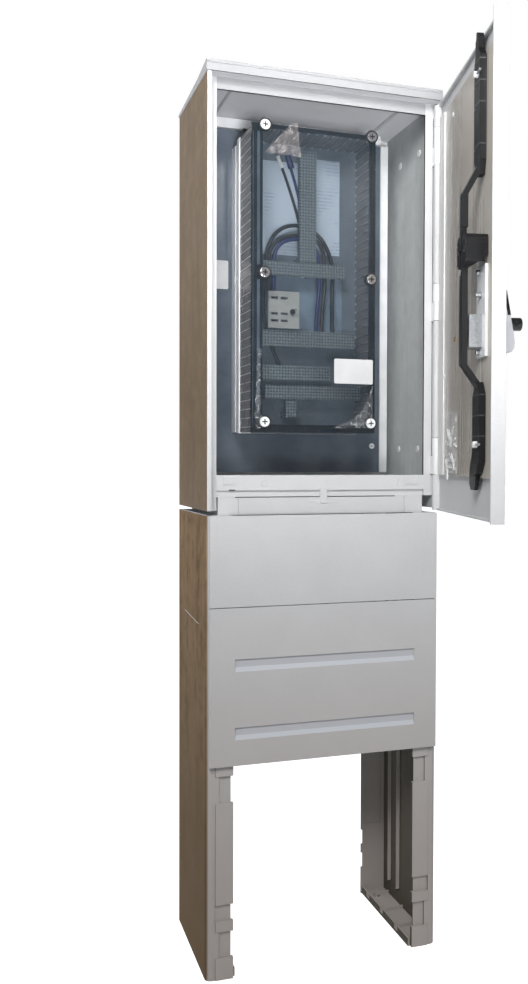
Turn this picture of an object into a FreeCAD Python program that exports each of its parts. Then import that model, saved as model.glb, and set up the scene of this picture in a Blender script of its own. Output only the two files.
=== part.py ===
import FreeCAD, Part
import math
import os

os.makedirs("parts", exist_ok=True)

V = FreeCAD.Vector
X_AXIS = V(1, 0, 0)
Y_AXIS = V(0, 1, 0)
Z_AXIS = V(0, 0, 1)

# A free-standing distribution cabinet of glass-fibre reinforced polyester: a two-legged plinth,
# a housing with one side-hung door, and a transparent meter box on a mounting plate inside.
# Millimetres, +Z up, origin on the ground under the middle of the plinth, front towards -Y.
# Depths are set back from the front face of the plinth covers and the closed door.

# Overall sizes
body_width = 470.0
body_depth = 280.0
plinth_height = 872.0
housing_height = 816.0
wall = 4.0
front = -body_depth / 2.0
back = body_depth / 2.0
half_body = body_width / 2.0
seat_gap = 0.3

# Plinth legs; widths are measured in from the outer side
leg_front_set_back = 10.0
leg_flange_thickness = 6.0
leg_flange_width = 48.0
leg_pad_width = 52.0
leg_pad_inset = 18.0
leg_pad_height = 2.0
leg_pad_z = ((142.0, 333.0), (384.0, plinth_height), (91.0, 111.0), (0.0, 41.0))
leg_pocket_depth = 3.0
leg_pocket_inset = (25.0, 17.0, 25.0)
leg_pocket_z = ((333.0, 384.0), (111.0, 142.0), (41.0, 91.0))
leg_corner_radius = 12.0
rear_flange_width = 59.0
rear_panel_z = 157.0
rear_panel_depth = 1.5
rear_panel_inset = 13.0
rear_panel_width = 38.0
rear_notch_z = (60.0, 112.0)
rear_notch_height = 32.0
rear_notch_depth = 4.0
leg_rib_from_back = (90.0, 42.0)
leg_rib_height = 8.0
leg_rib_bottom = 40.0
leg_rib_top_gap = 32.0
leg_shelf_thickness = 6.0
foot_thickness = 6.0
foot_width = 57.0
foot_rim_height = 16.0
foot_rim_thickness = 4.0
foot_notch_from_back = (210.0, 130.0, 50.0)
foot_notch_width = 16.0
foot_rib_thickness = 3.0
fixing_x = half_body - 35.0
fixing_y = back - 40.0
fixing_radius = 7.0

# Plinth covers; heights are measured down from the top of the plinth
cover_inset = 5.0
cover_half = half_body - cover_inset
cover_thickness = 4.0
cover_edge_radius = 2.0
cover_lip_width = 3.0
cover_boss_inset = 30.0
cover_boss_width = 6.0
cover_boss_end_gap = 10.0
upper_cover_height = 172.0
covers_height = 468.0
rear_cover_height = 460.0
cover_seam_z = plinth_height - upper_cover_height
cover_seam_gap = 1.5
cover_bottom_z = plinth_height - covers_height
rear_cover_bottom_z = plinth_height - rear_cover_height
rear_cover_inset = 2.0
slot_length = 363.0
slot_height = 23.0
slot_depth = 3.0
slot_slope = 8.5
upper_slot_height = 188.0
lower_slot_height = 60.0
slot_z = (cover_bottom_z + upper_slot_height, cover_bottom_z + lower_slot_height)

# Housing; from here on heights are measured up from the top of the plinth
housing_gap = 9.0
roof_low = housing_height
flange_set_back = 3.0
flange_width = 8.5
frame_set_back = 28.0
frame_width = 23.0
opening_half = half_body - frame_width
right_wall_set_back = 21.5
low_cut_top = 34.0
sill_top = 75.0
sill_low = 46.0
sill_depth = 26.0
sill_block_inset = (59.0, 36.0)
sill_block_z = (57.0, 72.0)
sill_block_height = 1.5
strip_low = 33.5
strip_set_back = 5.0
tab_half = 7.0
tab_bottom = 21.0
tab_height = 2.0
lintel_height = 22.0
neck_half = opening_half - 3.0
neck_joint_inset = 39.0
neck_joint_width = 1.2
neck_joint_depth = 1.5
roof_overhang = 2.0
roof_front_height = 21.0
roof_kink_set_back = 81.0
roof_kink_height = 12.5
roof_back_height = 4.5
roof_edge_radius = 1.5
roof_groove_height = 14.0
roof_groove_width = 1.2
roof_groove_depth = 1.2

# Mounting plate and its rails
plate_from_back = 44.0
plate_set_back = body_depth - plate_from_back
plate_thickness = 5.0
plate_inset = 14.0
plate_half = opening_half - plate_inset
plate_bottom = 78.0
plate_top = roof_low - 26.0
standoff_height = 30.0
standoff_z = (plate_bottom + 50.0, plate_top - 62.0)
rail_width = 17.0
rail_thickness = 9.0
top_rail_gap = 2.0
top_rail_height = 21.0
top_rail_step = 8.0

# Meter box
box_left = -136.0
box_right = 119.0
box_bottom_gap = 80.0
box_top_gap = 38.0
box_bottom = plate_bottom + box_bottom_gap
box_top = plate_top - box_top_gap
base_depth = 73.0
base_set_back = plate_set_back - base_depth
base_flange_depth = 19.0
base_body_depth = 26.0
base_body_inset = 5.0
base_foot_inset = 3.0
box_depth = 103.0
lid_set_back = base_set_back - box_depth
lid_wall = 3.0
lid_band = (22.0, 12.0, 15.0, 8.0)
lid_band_depth = 6.0
lid_lug_radius = 12.5
lid_lug_x = (box_left + 26.0, box_right - 9.0)
lid_lug_z = (box_top - 3.0, 466.0, box_bottom + 20.0)
shell_wall = 3.0
shell_inset = 2.0
inner_depth = 45.0
inner_front = base_set_back - inner_depth
strip_thickness = 3.0
strip_lip = 6.0
cross_strips = ((-104.0, 75.0, 473.0, 501.0), (-104.0, 96.0, 332.0, 364.0),
                (-103.0, 44.0, 265.0, 294.0), (-93.0, 109.0, 227.0, 254.0),
                (-50.0, -27.0, 191.0, 223.0))
strip_foot = 10.0
upright_strip = (-22.0, 13.0, 502.5, box_top - 27.0)
bracket_x = (-91.0, -27.0)
bracket_z = (366.0, 439.0)
bracket_depth = 59.0
bracket_foot_x = -55.0
bracket_thickness = 8.0
bracket_slot = (14.0, 5.0)
bracket_slot_x = (6.0, 26.0)
bracket_slot_z = (12.0, 26.0, 57.0)
bracket_knob_x = -38.0
bracket_knob_z = 401.0
bracket_knob_radius = 9.0
bracket_knob_bore = 4.5
bracket_knob_height = 6.0
paper_thickness = 0.8
paper_left = (-94.0, -13.0, 523.0, box_top - 40.0)
paper_right = (22.0, 78.0, 529.0, box_top - 28.0)
film_outline = ((-96.0, box_top - 64.0), (-30.0, box_top - 36.0), (-28.0, box_top + 12.0),
                (-92.0, box_top + 16.0))
film_corner = ((10.0, box_bottom + 16.0), (96.0, box_bottom + 16.0), (112.0, box_bottom + 90.0),
               (60.0, box_bottom + 52.0))
film_thickness = 0.8

# Cables in the meter box, as x and height of each point of the route
cable_radius = 4.0
thin_cable_radius = 3.0
blue_route = ((-79.0, 346.0), (-76.0, 402.0), (-73.0, 466.0), (-71.0, 546.0), (18.0, 552.0),
              (25.0, 464.0), (17.0, 402.0), (15.0, 344.0))
brown_route = ((-67.0, 342.0), (-74.0, 402.0), (-84.0, 462.0), (-79.0, 552.0), (31.0, 565.0),
               (40.0, 471.0), (31.0, 402.0), (30.0, 342.0))
black_route = ((-44.0, 274.0), (-68.0, 318.0), (-90.5, 386.0), (-90.5, 466.0), (-79.0, 552.0),
               (-34.0, 586.0), (28.0, 570.0), (59.5, 510.0), (56.0, 433.0), (57.0, 342.0))
spare_blue_route = ((-36.0, box_top - 28.0), (-26.0, box_top - 62.0), (-15.0, box_top - 98.0),
                    (-2.0, box_top - 150.0), (5.0, box_top - 200.0), (6.0, box_top - 250.0),
                    (5.0, box_top - 274.0))
spare_dark_route = ((-57.0, box_top - 30.0), (-43.0, box_top - 64.0), (-27.0, box_top - 108.0),
                    (-12.0, box_top - 156.0), (-4.0, box_top - 204.0), (-3.0, box_top - 252.0),
                    (-4.0, box_top - 274.0))

# Door
pin_inset = 4.0
pin_x = half_body - pin_inset
pin_set_back = 8.5
door_open_angle = 77.5
door_edge_inset = 14.0
door_left = -half_body + door_edge_inset
door_bottom = 5.2
door_top = roof_low - 9.0
door_skin = 3.0
door_rim = 4.0
door_rim_depth = 23.0
door_end_rim_depth = 9.0
roll_radius = 8.0
roll_bore = 5.0
low_hinge_height = 107.8
middle_hinge_height = 413.8
top_hinge_gap = 79.0
hinge_z = (door_bottom + low_hinge_height, door_bottom + middle_hinge_height, door_top - top_hinge_gap)
knuckle_length = 36.0
knuckle_gap = 0.5
hinge_cut_width = 9.5
hinge_cut_gap = 1.0
pin_radius = 2.5
pin_clearance = 0.05
pin_head_radius = 4.0
pin_head_height = 2.0
arm_width = 9.0
web_width = 19.0
web_thickness = 3.0
liner_left = door_left + 57.0
liner_right = pin_x - 21.0
liner_bottom = door_bottom + 70.8
liner_top = door_top - 31.0
liner_face = 8.0
liner_band_width = 40.0
liner_band_face = 10.0
liner_edge_radius = 2.0
bag_x = (liner_right - 152.0, liner_right - 60.0)
bag_z = (liner_bottom + 4.0, liner_bottom + 118.0)
bag_thickness = 5.0

# Latch inside the door; x is measured from the spindle, towards the hinges, on the closed door
spindle_inset = 107.0
spindle_x = door_left + spindle_inset
spindle_below_middle = 28.1
spindle_z = (door_bottom + door_top) / 2.0 - spindle_below_middle
rod_x = (-8.0, 10.0)
rod_back = 36.0
rod_front = 46.0
rod_half_width = 8.0
rod_full_z = (spindle_z + 32.0, spindle_z + 110.0)
rod_end_z = (spindle_z + 73.0, spindle_z + 69.0)
rod_low_face = 9.0
rod_high_face = 20.0
upper_blade_z = spindle_z + 196.0
upper_kink_z = (upper_blade_z - 32.0, upper_blade_z + 16.0)
upper_length = door_top + 3.0 - upper_blade_z
upper_blade = ((10.0, 0.0), (28.0, 16.0), (36.0, 32.0), (36.0, upper_length - 44.0),
               (30.0, upper_length - 32.0), (30.0, upper_length - 8.0), (23.0, upper_length),
               (5.0, upper_length), (-2.0, upper_length - 8.0), (-2.0, upper_length - 27.0),
               (-16.0, upper_length - 42.0), (-16.0, 24.0), (-8.0, 0.0))
lower_blade_z = spindle_z - 144.0
lower_kink_z = (lower_blade_z + 29.0, lower_blade_z - 8.0)
lower_tip_height = 49.8
lower_length = lower_blade_z - door_bottom - lower_tip_height
lower_blade = ((10.0, 0.0), (24.0, -10.0), (36.0, -22.0), (36.0, 63.0 - lower_length),
               (52.0, 35.0 - lower_length), (52.0, 9.0 - lower_length), (44.0, -lower_length),
               (22.0, -lower_length), (14.0, 9.0 - lower_length), (12.0, 23.0 - lower_length),
               (-6.0, 29.0 - lower_length), (-22.0, 47.0 - lower_length), (-22.0, -20.0), (-8.0, 0.0))
blade_floor_face = 16.0
gear_x = (-31.0, 26.0)
gear_z = (spindle_z + 44.0, spindle_z + 96.0)
gear_slope = 18.0
gear_channel_clearance = 2.0
gear_corner = 10.0
backing_x = (-30.0, 26.0)
backing_z = (spindle_z - 103.0, spindle_z + 47.0)
backing_thickness = 4.0
backing_lip = 1.0
case_x = (-10.0, 26.0)
case_z = (spindle_z - 87.0, spindle_z - 33.0)
case_face = 34.0

# Swing handle outside the door; heights are measured from the spindle
spindle_radius = 4.0
spindle_hole_radius = 6.0
spindle_length = 26.0
handle_plate = 4.0
handle_plate_half = 19.0
handle_plate_z = (-104.0, 36.0)
handle_plate_radius = 14.0
hub_radius = 13.0
hub_height = 5.5
ear_half = 15.0
ear_thickness = 4.0
ear_rise = 4.0
lift_z = 15.5
lift_height = 17.0
lift_pin_radius = 2.5
lever_head_radius = 6.5
lever_half = 16.0
lever_neck_half = 10.6
lever_neck_low = -12.0
lever_back = 10.5
lever_outer = ((23.5, 16.5), (26.5, 8.0), (34.0, -35.0), (37.0, -49.0), (42.0, -78.0), (41.0, -88.0),
               (36.0, -94.0))
lever_inner = ((26.0, -94.0), (21.0, -88.0), (20.0, -76.0), (14.0, -64.0))
inlay_z = (-34.0, 7.0)
inlay_depth = 4.5
inlay_half = lever_half
knob_radius = 11.0
knob_z = -47.0
knob_height = 20.0
knob_sunk = 3.0
knob_edge = 3.0
knob_bore_radius = 4.0
knob_bore_depth = 2.5


def box(x0, x1, y0, y1, z0, z1):
    return Part.makeBox(x1 - x0, y1 - y0, z1 - z0, V(x0, y0, z0))


def cylinder(x, y, z, radius, length, axis):
    return Part.makeCylinder(radius, length, V(x, y, z), axis)


def prism(points, z0, z1):
    loop = [V(x, y, z0) for x, y in points]
    face = Part.Face(Part.makePolygon(loop + [loop[0]]))
    return face.extrude(V(0, 0, z1 - z0))


def side_prism(points, x0, x1):
    loop = [V(x0, y, z) for y, z in points]
    face = Part.Face(Part.makePolygon(loop + [loop[0]]))
    return face.extrude(V(x1 - x0, 0, 0))


def front_prism(points, y0, y1):
    loop = [V(x, y0, z) for x, z in points]
    face = Part.Face(Part.makePolygon(loop + [loop[0]]))
    return face.extrude(V(0, y1 - y0, 0))


def edges_along(shape, axis):
    found = []
    for edge in shape.Edges:
        straight = edge.Curve.TypeId == "Part::GeomLine"
        if straight and abs(edge.tangentAt(edge.FirstParameter).dot(axis)) > 0.999:
            found.append(edge)
    return found


def rounded_plate(x0, x1, y0, y1, z0, z1, radius):
    plate = box(x0, x1, y0, y1, z0, z1)
    return plate.makeFillet(radius, edges_along(plate, Y_AXIS))


def mirrored(shape):
    return shape.mirror(V(0, 0, 0), X_AXIS)


def raised(shape):
    lifted = shape.copy()
    lifted.translate(V(0, 0, plinth_height))
    return lifted


def swung(shape):
    turned = raised(shape)
    turned.rotate(V(pin_x, front + pin_set_back, 0), Z_AXIS, door_open_angle)
    return turned


def cable(name, route, set_back, radius):
    points = [V(x, front + set_back, z) for x, z in route]
    edges = []
    start = points[0]
    for i in range(1, len(points) - 1):
        before = points[i] - points[i - 1]
        after = points[i + 1] - points[i]
        half_turn = before.getAngle(after) / 2.0
        reach = 0.45 * min(before.Length, after.Length)
        bend = reach / math.tan(half_turn)
        into = V(before).normalize()
        out = V(after).normalize()
        arc_start = points[i] - into * reach
        arc_end = points[i] + out * reach
        inward = (out - into).normalize()
        centre = points[i] + inward * (bend / math.cos(half_turn))
        middle = centre - inward * bend
        edges.append(Part.makeLine(start, arc_start))
        edges.append(Part.Arc(arc_start, middle, arc_end).toShape())
        start = arc_end
        print(name, "bend radius", round(bend, 1))
    edges.append(Part.makeLine(start, points[-1]))
    spine = Part.Wire(edges)
    ring = Part.Wire(Part.makeCircle(radius, points[0], points[1] - points[0]))
    return spine.makePipeShell([ring], True, True)


def save(name, shape):
    shape.exportStep("parts/" + name + ".step")


# Plinth

def leg():
    x0 = -half_body
    y0 = front + leg_front_set_back
    rear_x = x0 + rear_flange_width
    foot_x = x0 + foot_width
    flange_x = x0 + leg_flange_width
    channel = box(x0, rear_x, y0, back, 0, plinth_height)
    uprights = edges_along(channel, Z_AXIS)
    corner = [e for e in uprights if e.Vertexes[0].X < x0 + 1 and e.Vertexes[0].Y < y0 + 1]
    channel = channel.makeFillet(leg_corner_radius, corner)
    hollow = box(x0 + wall, rear_x + 1.0, y0 + leg_flange_thickness, back - wall, foot_thickness,
                 plinth_height - leg_shelf_thickness)
    front_opening = box(flange_x, rear_x + 1.0, y0 - 1.0, back - wall, -1.0, plinth_height + 1.0)
    channel = channel.cut([hollow, front_opening])
    foot = box(x0 + wall, foot_x, y0 + leg_flange_thickness, back - wall, 0, foot_thickness)
    rim = box(foot_x - foot_rim_thickness, foot_x, y0 + leg_flange_thickness, back - wall, 0, foot_rim_height)
    pieces = [foot, rim]
    notch_y = [back - y for y in foot_notch_from_back]
    for y in leg_rib_from_back:
        pieces.append(box(x0 + wall, x0 + wall + leg_rib_height, back - y - wall, back - y,
                          leg_rib_bottom, plinth_height - leg_rib_top_gap))
    for y in notch_y:
        rib_y = y + foot_notch_width
        pieces.append(box(x0 + wall, foot_x, rib_y, rib_y + foot_rib_thickness, 0, foot_rim_height - wall))
    for z0, z1 in leg_pad_z:
        pieces.append(box(x0 + leg_pad_inset, x0 + leg_pad_width, y0 - leg_pad_height,
                          y0 + leg_flange_thickness, z0, z1))
    shape = channel.fuse(pieces)
    for inset, (z0, z1) in zip(leg_pocket_inset, leg_pocket_z):
        shape = shape.cut(box(x0 + inset, flange_x + 1.0, y0 - leg_pad_height - 1.0,
                              y0 + leg_pocket_depth, z0, z1))
    panel_x = x0 + rear_panel_inset
    inside = back - wall
    shape = shape.cut(box(panel_x, panel_x + rear_panel_width, inside - 1.0, inside + rear_panel_depth,
                          rear_panel_z, plinth_height - leg_shelf_thickness))
    for z in rear_notch_z:
        shape = shape.cut(box(rear_x - rear_notch_depth, rear_x + 1.0, back - wall - 1.0, back + 1.0,
                              z, z + rear_notch_height))
    for y in notch_y:
        shape = shape.cut(box(foot_x - foot_rim_thickness - 1.0, foot_x + 1.0, y, y + foot_notch_width,
                              foot_thickness, foot_rim_height + 1.0))
    for y in (-fixing_y, fixing_y):
        shape = shape.cut(cylinder(-fixing_x, y, -1.0, fixing_radius, foot_rim_height + 2.0, Z_AXIS))
    return shape.removeSplitter()


def front_cover(z0, z1, slots):
    half = cover_half
    seat = front + leg_front_set_back - leg_pad_height
    plate = box(-half, half, front, front + cover_thickness, z0, z1)
    fronts = [e for e in edges_along(plate, Z_AXIS) if e.Vertexes[0].Y < front + 1]
    plate = plate.makeFillet(cover_edge_radius, fronts)
    lips = []
    for x in (-half, half - cover_lip_width):
        lips.append(box(x, x + cover_lip_width, front + cover_edge_radius, seat, z0, z1))
    boss_x = half_body - cover_boss_inset
    for x in (-boss_x, boss_x - cover_boss_width):
        lips.append(box(x, x + cover_boss_width, front + cover_thickness, seat, z0 + cover_boss_end_gap,
                        z1 - cover_boss_end_gap))
    cover = plate.fuse(lips)
    for z in slots:
        z_low = z - slot_height / 2.0
        z_high = z + slot_height / 2.0
        section = [(front - 1.0, z_low), (front, z_low), (front + slot_depth, z_low + slot_slope),
                   (front + slot_depth, z_high), (front - 1.0, z_high)]
        cover = cover.cut(side_prism(section, -slot_length / 2.0, slot_length / 2.0))
    return cover.removeSplitter()


def rear_cover():
    half = half_body - rear_cover_inset
    return box(-half, half, back, back + cover_thickness, rear_cover_bottom_z, plinth_height)


# Housing

def left_wall():
    x0 = -half_body
    y0 = front + flange_set_back
    stop = front + frame_set_back
    section = [(x0, y0), (x0 + flange_width, y0), (x0 + flange_width, stop), (-opening_half, stop),
               (-opening_half, stop + wall), (x0 + wall, stop + wall), (x0 + wall, back), (x0, back)]
    return prism(section, housing_gap, roof_low)


def right_wall():
    x1 = half_body
    y0 = front + right_wall_set_back
    stop = front + frame_set_back
    section = [(x1, y0), (x1 - wall, y0), (x1 - wall, stop), (opening_half, stop),
               (opening_half, stop + wall), (x1 - wall, stop + wall), (x1 - wall, back), (x1, back)]
    shape = prism(section, housing_gap, roof_low)
    return shape.cut(box(0, x1 - wall, y0, stop + wall, 0, low_cut_top))


def back_wall():
    half = half_body - wall
    return box(-half, half, back - wall, back, housing_gap, roof_low)


def roof_cap():
    half = half_body + roof_overhang
    top = roof_low + roof_front_height
    side = [(front, roof_low), (back, roof_low), (back, roof_low + roof_back_height),
            (front + roof_kink_set_back, roof_low + roof_kink_height), (front, top)]
    cap = side_prism(side, -half, half)
    tops = [e for e in edges_along(cap, X_AXIS) if e.Vertexes[0].Z > top - 1]
    cap = cap.makeFillet(roof_edge_radius, tops)
    z0 = roof_low + roof_groove_height
    z1 = z0 + roof_groove_width
    return cap.cut(box(-half - 1.0, half + 1.0, front - 1.0, front + roof_groove_depth, z0, z1))


def lintel():
    y0 = front + frame_set_back
    return box(-opening_half, opening_half, y0, y0 + wall, roof_low - lintel_height, roof_low)


def sill():
    y0 = front + frame_set_back
    shelf = box(-opening_half, opening_half, y0, y0 + sill_depth, sill_top - wall, sill_top)
    face = box(-opening_half, opening_half, y0, y0 + wall, sill_low, sill_top)
    strip = box(-opening_half, opening_half, y0 + wall, y0 + strip_set_back + wall, strip_low, sill_top)
    pieces = [face, strip]
    outer, inner = [half_body - inset for inset in reversed(sill_block_inset)]
    for x in (-outer, inner):
        pieces.append(box(x, x + outer - inner, y0 - sill_block_height, y0, sill_block_z[0], sill_block_z[1]))
    pieces.append(box(-tab_half, tab_half, y0 - tab_height, y0 + strip_set_back, tab_bottom, sill_low + wall))
    return shelf.fuse(pieces).removeSplitter()


def neck():
    y0 = front + frame_set_back
    block = box(-neck_half, neck_half, y0, back - wall, 0, strip_low)
    for x in (-neck_half + neck_joint_inset, neck_half - neck_joint_inset):
        block = block.cut(box(x - neck_joint_width / 2.0, x + neck_joint_width / 2.0, y0 - 1.0,
                              y0 + neck_joint_depth, -1.0, strip_low + 1.0))
    return block.cut(box(-tab_half, tab_half, y0 - 1.0, y0 + strip_set_back, tab_bottom, strip_low + 1.0))


def housing_floor():
    half = half_body - wall
    y0 = front + frame_set_back + wall + strip_set_back
    return box(-half, half, y0, back - wall, strip_low, strip_low + wall)


# Mounting plate

def plate_standoffs():
    y0 = front + plate_set_back + plate_thickness
    bars = [box(-plate_half, plate_half, y0, back - wall, z, z + standoff_height) for z in standoff_z]
    return Part.makeCompound(bars)


def mounting_plate():
    y0 = front + plate_set_back
    return box(-plate_half, plate_half, y0, y0 + plate_thickness, plate_bottom, plate_top)


def plate_rails():
    y1 = front + plate_set_back + plate_thickness
    y0 = y1 - rail_thickness
    z0 = plate_top + top_rail_gap
    z1 = z0 + top_rail_height
    rails = [box(plate_half, plate_half + rail_width, y0, back - wall, plate_bottom, plate_top),
             box(-plate_half - rail_width, -plate_half, y0, back - wall, plate_bottom, plate_top)]
    top = box(-plate_half, plate_half, y0, back - wall, z0, z1)
    step = box(-plate_half - 1.0, plate_half + 1.0, y0 - 1.0, y0 + rail_thickness / 3.0,
               z1 - top_rail_step, z1 + 1.0)
    rails.append(top.cut(step))
    return Part.makeCompound(rails)


# Meter box

def base_feet():
    y0 = front + base_set_back + base_flange_depth + base_body_depth
    return box(box_left + base_foot_inset, box_right - base_foot_inset, y0, front + plate_set_back,
               box_bottom + base_foot_inset, box_top - base_foot_inset)


def base_body():
    y0 = front + base_set_back + base_flange_depth
    return box(box_left + base_body_inset, box_right - base_body_inset, y0, y0 + base_body_depth,
               box_bottom + base_body_inset, box_top - base_body_inset)


def base_flange():
    y0 = front + base_set_back
    return box(box_left, box_right, y0, y0 + base_flange_depth, box_bottom, box_top)


def meter_shell():
    y0 = front + lid_set_back + lid_wall + lid_band_depth
    y1 = front + base_set_back
    outer = box(box_left + shell_inset, box_right - shell_inset, y0, y1, box_bottom + shell_inset,
                box_top - shell_inset)
    inset = shell_inset + shell_wall
    inner = box(box_left + inset, box_right - inset, y0 - 1.0, y1 + 1.0, box_bottom + inset, box_top - inset)
    return outer.cut(inner)


def lid_lugs(y0, y1):
    lugs = []
    for x in lid_lug_x:
        for z in lid_lug_z:
            lugs.append(cylinder(x, y0, z, lid_lug_radius, y1 - y0, Y_AXIS))
    return lugs


def lid_frame():
    y0 = front + lid_set_back + lid_wall
    left, right, low, high = lid_band
    outer = box(box_left, box_right, y0, y0 + lid_band_depth, box_bottom, box_top)
    ring = outer.cut(box(box_left + left, box_right - right, y0 - 1.0, y0 + lid_band_depth + 1.0,
                         box_bottom + low, box_top - high))
    return ring.fuse(lid_lugs(y0, y0 + lid_band_depth)).removeSplitter()


def meter_lid():
    y0 = front + lid_set_back
    pane = box(box_left, box_right, y0, y0 + lid_wall, box_bottom, box_top)
    return pane.fuse(lid_lugs(y0, y0 + lid_wall)).removeSplitter()


def standing_strip(x0, x1, z0, z1):
    y0 = front + inner_front
    seat = front + base_set_back
    parts = [box(x0, x1, y0, y0 + strip_thickness, z0, z1)]
    if x1 - x0 > z1 - z0:
        parts.append(box(x0, x1, y0, y0 + strip_lip, z1 - strip_thickness, z1))
        parts.append(box(x0, x1, y0, y0 + strip_lip, z0, z0 + strip_thickness))
    else:
        parts.append(box(x0, x0 + strip_thickness, y0, y0 + strip_lip, z0, z1))
        parts.append(box(x1 - strip_thickness, x1, y0, y0 + strip_lip, z0, z1))
    for x, z in ((x0, z0), (x1 - strip_foot, z1 - strip_foot)):
        parts.append(box(x, x + strip_foot, y0, seat, z, z + strip_foot))
    return parts[0].fuse(parts[1:]).removeSplitter()


def cross_rails():
    return Part.makeCompound([standing_strip(*strip) for strip in cross_strips])


def terminal_bracket():
    y1 = front + base_set_back
    y0 = y1 - bracket_depth
    x0, x1 = bracket_x
    z0, z1 = bracket_z
    plate = box(x0, x1, y0, y0 + bracket_thickness, z0, z1)
    width, height = bracket_slot
    for slot_up in bracket_slot_z:
        for slot_in in bracket_slot_x:
            x = x0 + slot_in
            z = z0 + slot_up
            plate = plate.cut(box(x, x + width, y0 - 1.0, y0 + bracket_thickness + 1.0, z, z + height))
    foot = box(bracket_foot_x, bracket_foot_x + strip_foot, y0, y1, z1 - strip_foot, z1)
    knob = cylinder(bracket_knob_x, y0 - bracket_knob_height, bracket_knob_z, bracket_knob_radius,
                    bracket_knob_height, Y_AXIS)
    bore = cylinder(bracket_knob_x, y0 - bracket_knob_height - 1.0, bracket_knob_z, bracket_knob_bore,
                    bracket_knob_height, Y_AXIS)
    return plate.fuse([foot, knob]).cut(bore).removeSplitter()


def papers():
    y1 = front + base_set_back
    sheets = [box(x0, x1, y1 - paper_thickness, y1, z0, z1) for x0, x1, z0, z1 in (paper_left, paper_right)]
    return Part.makeCompound(sheets)


def film():
    y1 = front + lid_set_back - seat_gap
    pieces = [front_prism(outline, y1 - film_thickness, y1) for outline in (film_outline, film_corner)]
    return Part.makeCompound(pieces)


# Door

def door_leaf():
    y0 = front
    skin = box(door_left, pin_x, y0, y0 + door_skin, door_bottom, door_top)
    rims = [box(door_left, door_left + door_rim, y0, y0 + door_rim_depth, door_bottom, door_top)]
    for z in (door_bottom, door_top - door_rim):
        rims.append(box(door_left, pin_x - roll_bore, y0, y0 + door_end_rim_depth, z, z + door_rim))
    roll_y = y0 + pin_set_back
    height = door_top - door_bottom
    roll = cylinder(pin_x, roll_y, door_bottom, roll_radius, height, Z_AXIS)
    edge = box(pin_x - roll_radius, pin_x, y0, roll_y, door_bottom, door_top)
    leaf = skin.fuse(rims + [roll, edge])
    leaf = leaf.cut(cylinder(pin_x, roll_y, door_bottom - 1.0, roll_bore, height + 2.0, Z_AXIS))
    reach = knuckle_length + hinge_cut_gap
    for z in hinge_z:
        leaf = leaf.cut(box(pin_x - hinge_cut_width, pin_x + roll_radius + 1.0, y0 - 1.0, y0 + door_rim_depth,
                            z - reach, z + reach))
    hole = cylinder(spindle_x, y0 - 1.0, spindle_z, spindle_hole_radius, door_skin + 2.0, Y_AXIS)
    return leaf.cut(hole).removeSplitter()


def door_liner():
    y0 = front + door_skin
    y1 = front + liner_face
    panel = rounded_plate(liner_left, liner_right, y0, y1, liner_bottom, liner_top, liner_edge_radius)
    band_right = liner_right - liner_edge_radius
    band = box(band_right - liner_band_width, band_right, y0, front + liner_band_face,
               liner_bottom + liner_edge_radius, liner_top - liner_edge_radius)
    hole = cylinder(spindle_x, y0 - 1.0, spindle_z, spindle_hole_radius, liner_face, Y_AXIS)
    return panel.fuse(band).cut(hole).removeSplitter()


def door_knuckles():
    y = front + pin_set_back
    knuckles = []
    for z in hinge_z:
        z0 = z + knuckle_gap
        z1 = z + knuckle_length
        barrel = cylinder(pin_x, y, z0, roll_radius, z1 - z0, Z_AXIS)
        web = box(pin_x - web_width, pin_x, front + door_skin, front + door_skin + web_thickness, z0, z1)
        bore = cylinder(pin_x, y, z0 - 1.0, pin_radius + pin_clearance, z1 - z0 + 2.0, Z_AXIS)
        knuckles.append(barrel.fuse(web).cut(bore).removeSplitter())
    return Part.makeCompound(knuckles)


def hinge_brackets():
    y = front + pin_set_back
    wall_x = half_body - wall
    arm_x = half_body - arm_width
    brackets = []
    for z in hinge_z:
        z0 = z - knuckle_length
        barrel = cylinder(pin_x, y, z0, roll_radius, knuckle_length, Z_AXIS)
        arm = box(arm_x, wall_x, y, front + frame_set_back, z0, z)
        lap = box(wall_x, half_body, y, front + right_wall_set_back, z0, z)
        pin = cylinder(pin_x, y, z0, pin_radius, 2.0 * knuckle_length + knuckle_gap, Z_AXIS)
        head = cylinder(pin_x, y, z + knuckle_length + knuckle_gap, pin_head_radius, pin_head_height, Z_AXIS)
        brackets.append(barrel.fuse([arm, lap, pin, head]).removeSplitter())
    return Part.makeCompound(brackets)


def fixings_bag():
    y0 = front + liner_face + seat_gap
    return box(bag_x[0], bag_x[1], y0, y0 + bag_thickness, bag_z[0], bag_z[1])


# Latch

def rod_edges():
    return spindle_x + rod_x[0], spindle_x + rod_x[1]


def blade(outline, z):
    points = [(spindle_x + x, z + height) for x, height in outline]
    x0 = min(x for x, height in points)
    low = front_prism(points, front + rod_low_face, front + blade_floor_face)
    ridge = front_prism(points, front + rod_low_face, front + rod_high_face)
    return low.fuse(ridge.common(box(x0, rod_edges()[1], front, front + frame_set_back, 0, roof_low)))


def upper_rod():
    x0, x1 = rod_edges()
    y0 = front + rod_back
    y1 = front + rod_front
    bar = box(x0, x1, y0, y1, rod_full_z[1], upper_kink_z[0])
    tongue = box(x1 - rod_half_width, x1, y0, y1, rod_end_z[0], rod_full_z[1])
    low, high = upper_kink_z
    section = [(y0, low), (y1, low), (front + rod_high_face, high), (front + rod_low_face, high)]
    kink = side_prism(section, x0, x1)
    return blade(upper_blade, upper_blade_z).fuse([bar, tongue, kink]).removeSplitter()


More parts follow.
